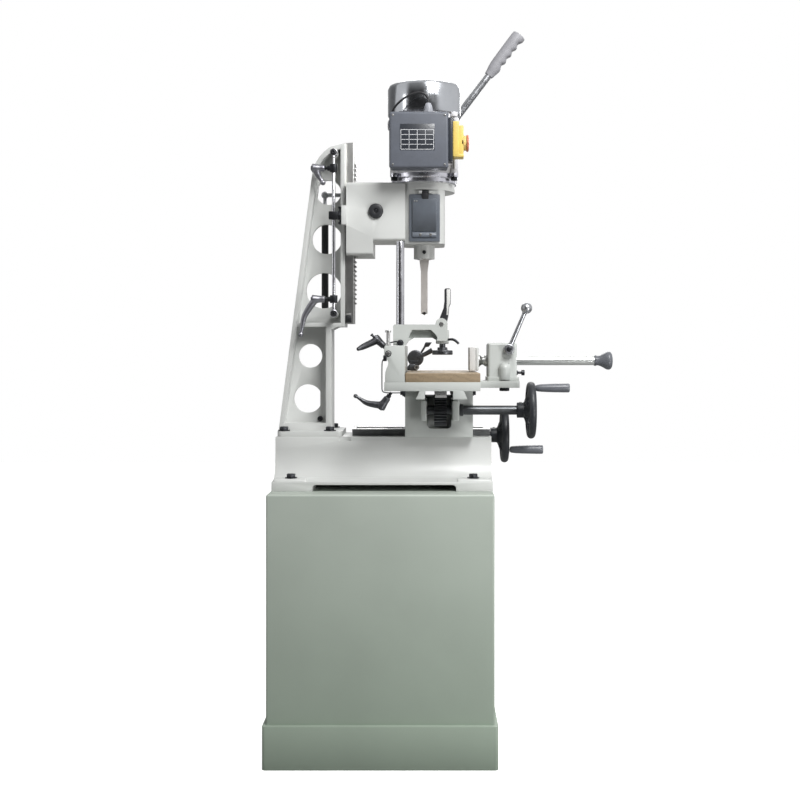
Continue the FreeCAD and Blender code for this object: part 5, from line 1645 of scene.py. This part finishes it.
clamp = {
    "z": 904.6, "shaft": 11.0, "hub": (296.7, 931.7), "leverTip": (338, -56, 1028.5),
    "nose": [(226, 15), (229, 15), (231, 13), (233, 11), (237, 9.6), (240, 10.4), (241.5, 13.4), (246, 14.2),
             (247.4, 13.2)],
    "knob": [(504, 11.4), (504.4, 12.8), (505.6, 12.8), (506, 11.6), (507, 11.6), (507.4, 12.8), (509, 12.8),
             (510, 11.6), (514, 11.6), (519, 13.0), (525, 16.0), (530, 19.0), (534.5, 21.2), (538, 21.9),
             (541, 21.7), (544, 20.0), (546.4, 16.6), (547.6, 12.0), (548, 6)],
    "thumb": [(0, 5.4), (3.5, 5.4), (4, 3.0), (12, 3.0), (12.5, 6.4), (19, 6.6), (20, 5.8)],
    "nut": [(0, 12), (8.5, 12), (9.2, 11)],
    "leverHub": [(-63.4, 10.6), (-62, 12.5), (-48, 12.5), (-47.4, 11.8)],
    "backing": ((218, -50, 881), (226, 50, 936.5)),
    "pad": ((204, -50, 881), (218.2, 50, 936.5)),
}


def makeClamp(values):
    z, r = values["z"], values["shaft"]
    shaft = soften(turned([(238, r), (508, r)], (0, 0, z), toRight, 64), 0.3, 1)
    finished(shaft, "clampShaft", "paleShaft", "clamp", "clamp_shaft")
    nose = soften(turned(values["nose"], (0, 0, z), toRight, 56), 0.3, 1)
    finished(nose, "clampNose", "machinedSteel", "clamp", "clamp_shaft")
    knob = soften(turned(values["knob"], (0, 0, z), toRight, 64), 0, 1)
    finished(knob, "clampKnob", "gripPlastic", "clamp", "clamp_shaft")
    backing = soften(block(*values["backing"]), 3.0, 4, 40)
    finished(backing, "jawBacking", "castingPaint", "clamp", "clamp_jaw")
    finished(soften(block(*values["pad"]), 1.2, 3, 40), "jawPad", "jawPad", "clamp", "clamp_jaw")
    hx, hz = values["hub"]
    hub = soften(turned(values["leverHub"], (hx, 0, hz), far, 48), 0.4, 2)
    tip = Vector(values["leverTip"])
    start = Vector((hx, -56, hz))
    length = (tip - start).length
    bar = turned([(6, 6.4), (16, 5.4), (length - 18, 4.7), (length - 12, 5.6), (length - 8, 6.6)], start,
                 tip - start, 32)
    soften(bar, 0, 1)
    knobEnd = ball(tip, 13.2, 20)
    bpy.ops.object.shade_smooth()
    finished(joined(hub, bar, knobEnd), "clampLever", "satinChrome", "clamp_lock", "clamp_lever")
    slot = slottedScrew((hx, -63.3, hz), near, 6.4, 1.8)
    finished(slot, "clampHubScrew", "blackSteel", "clamp_lock")
    thumb = soften(turned(values["thumb"], (316, -22, 876), toRight, 24), 0.3, 1)
    finished(thumb, "thumbScrew", "blackSteel", "table")
    under = soften(turned(values["nut"], (288, -20, 841.5), down, 6), 0.6, 2, 25)
    finished(under, "blockNut", "blackSteel", "table")


makeClamp(clamp)
print("clamp done")
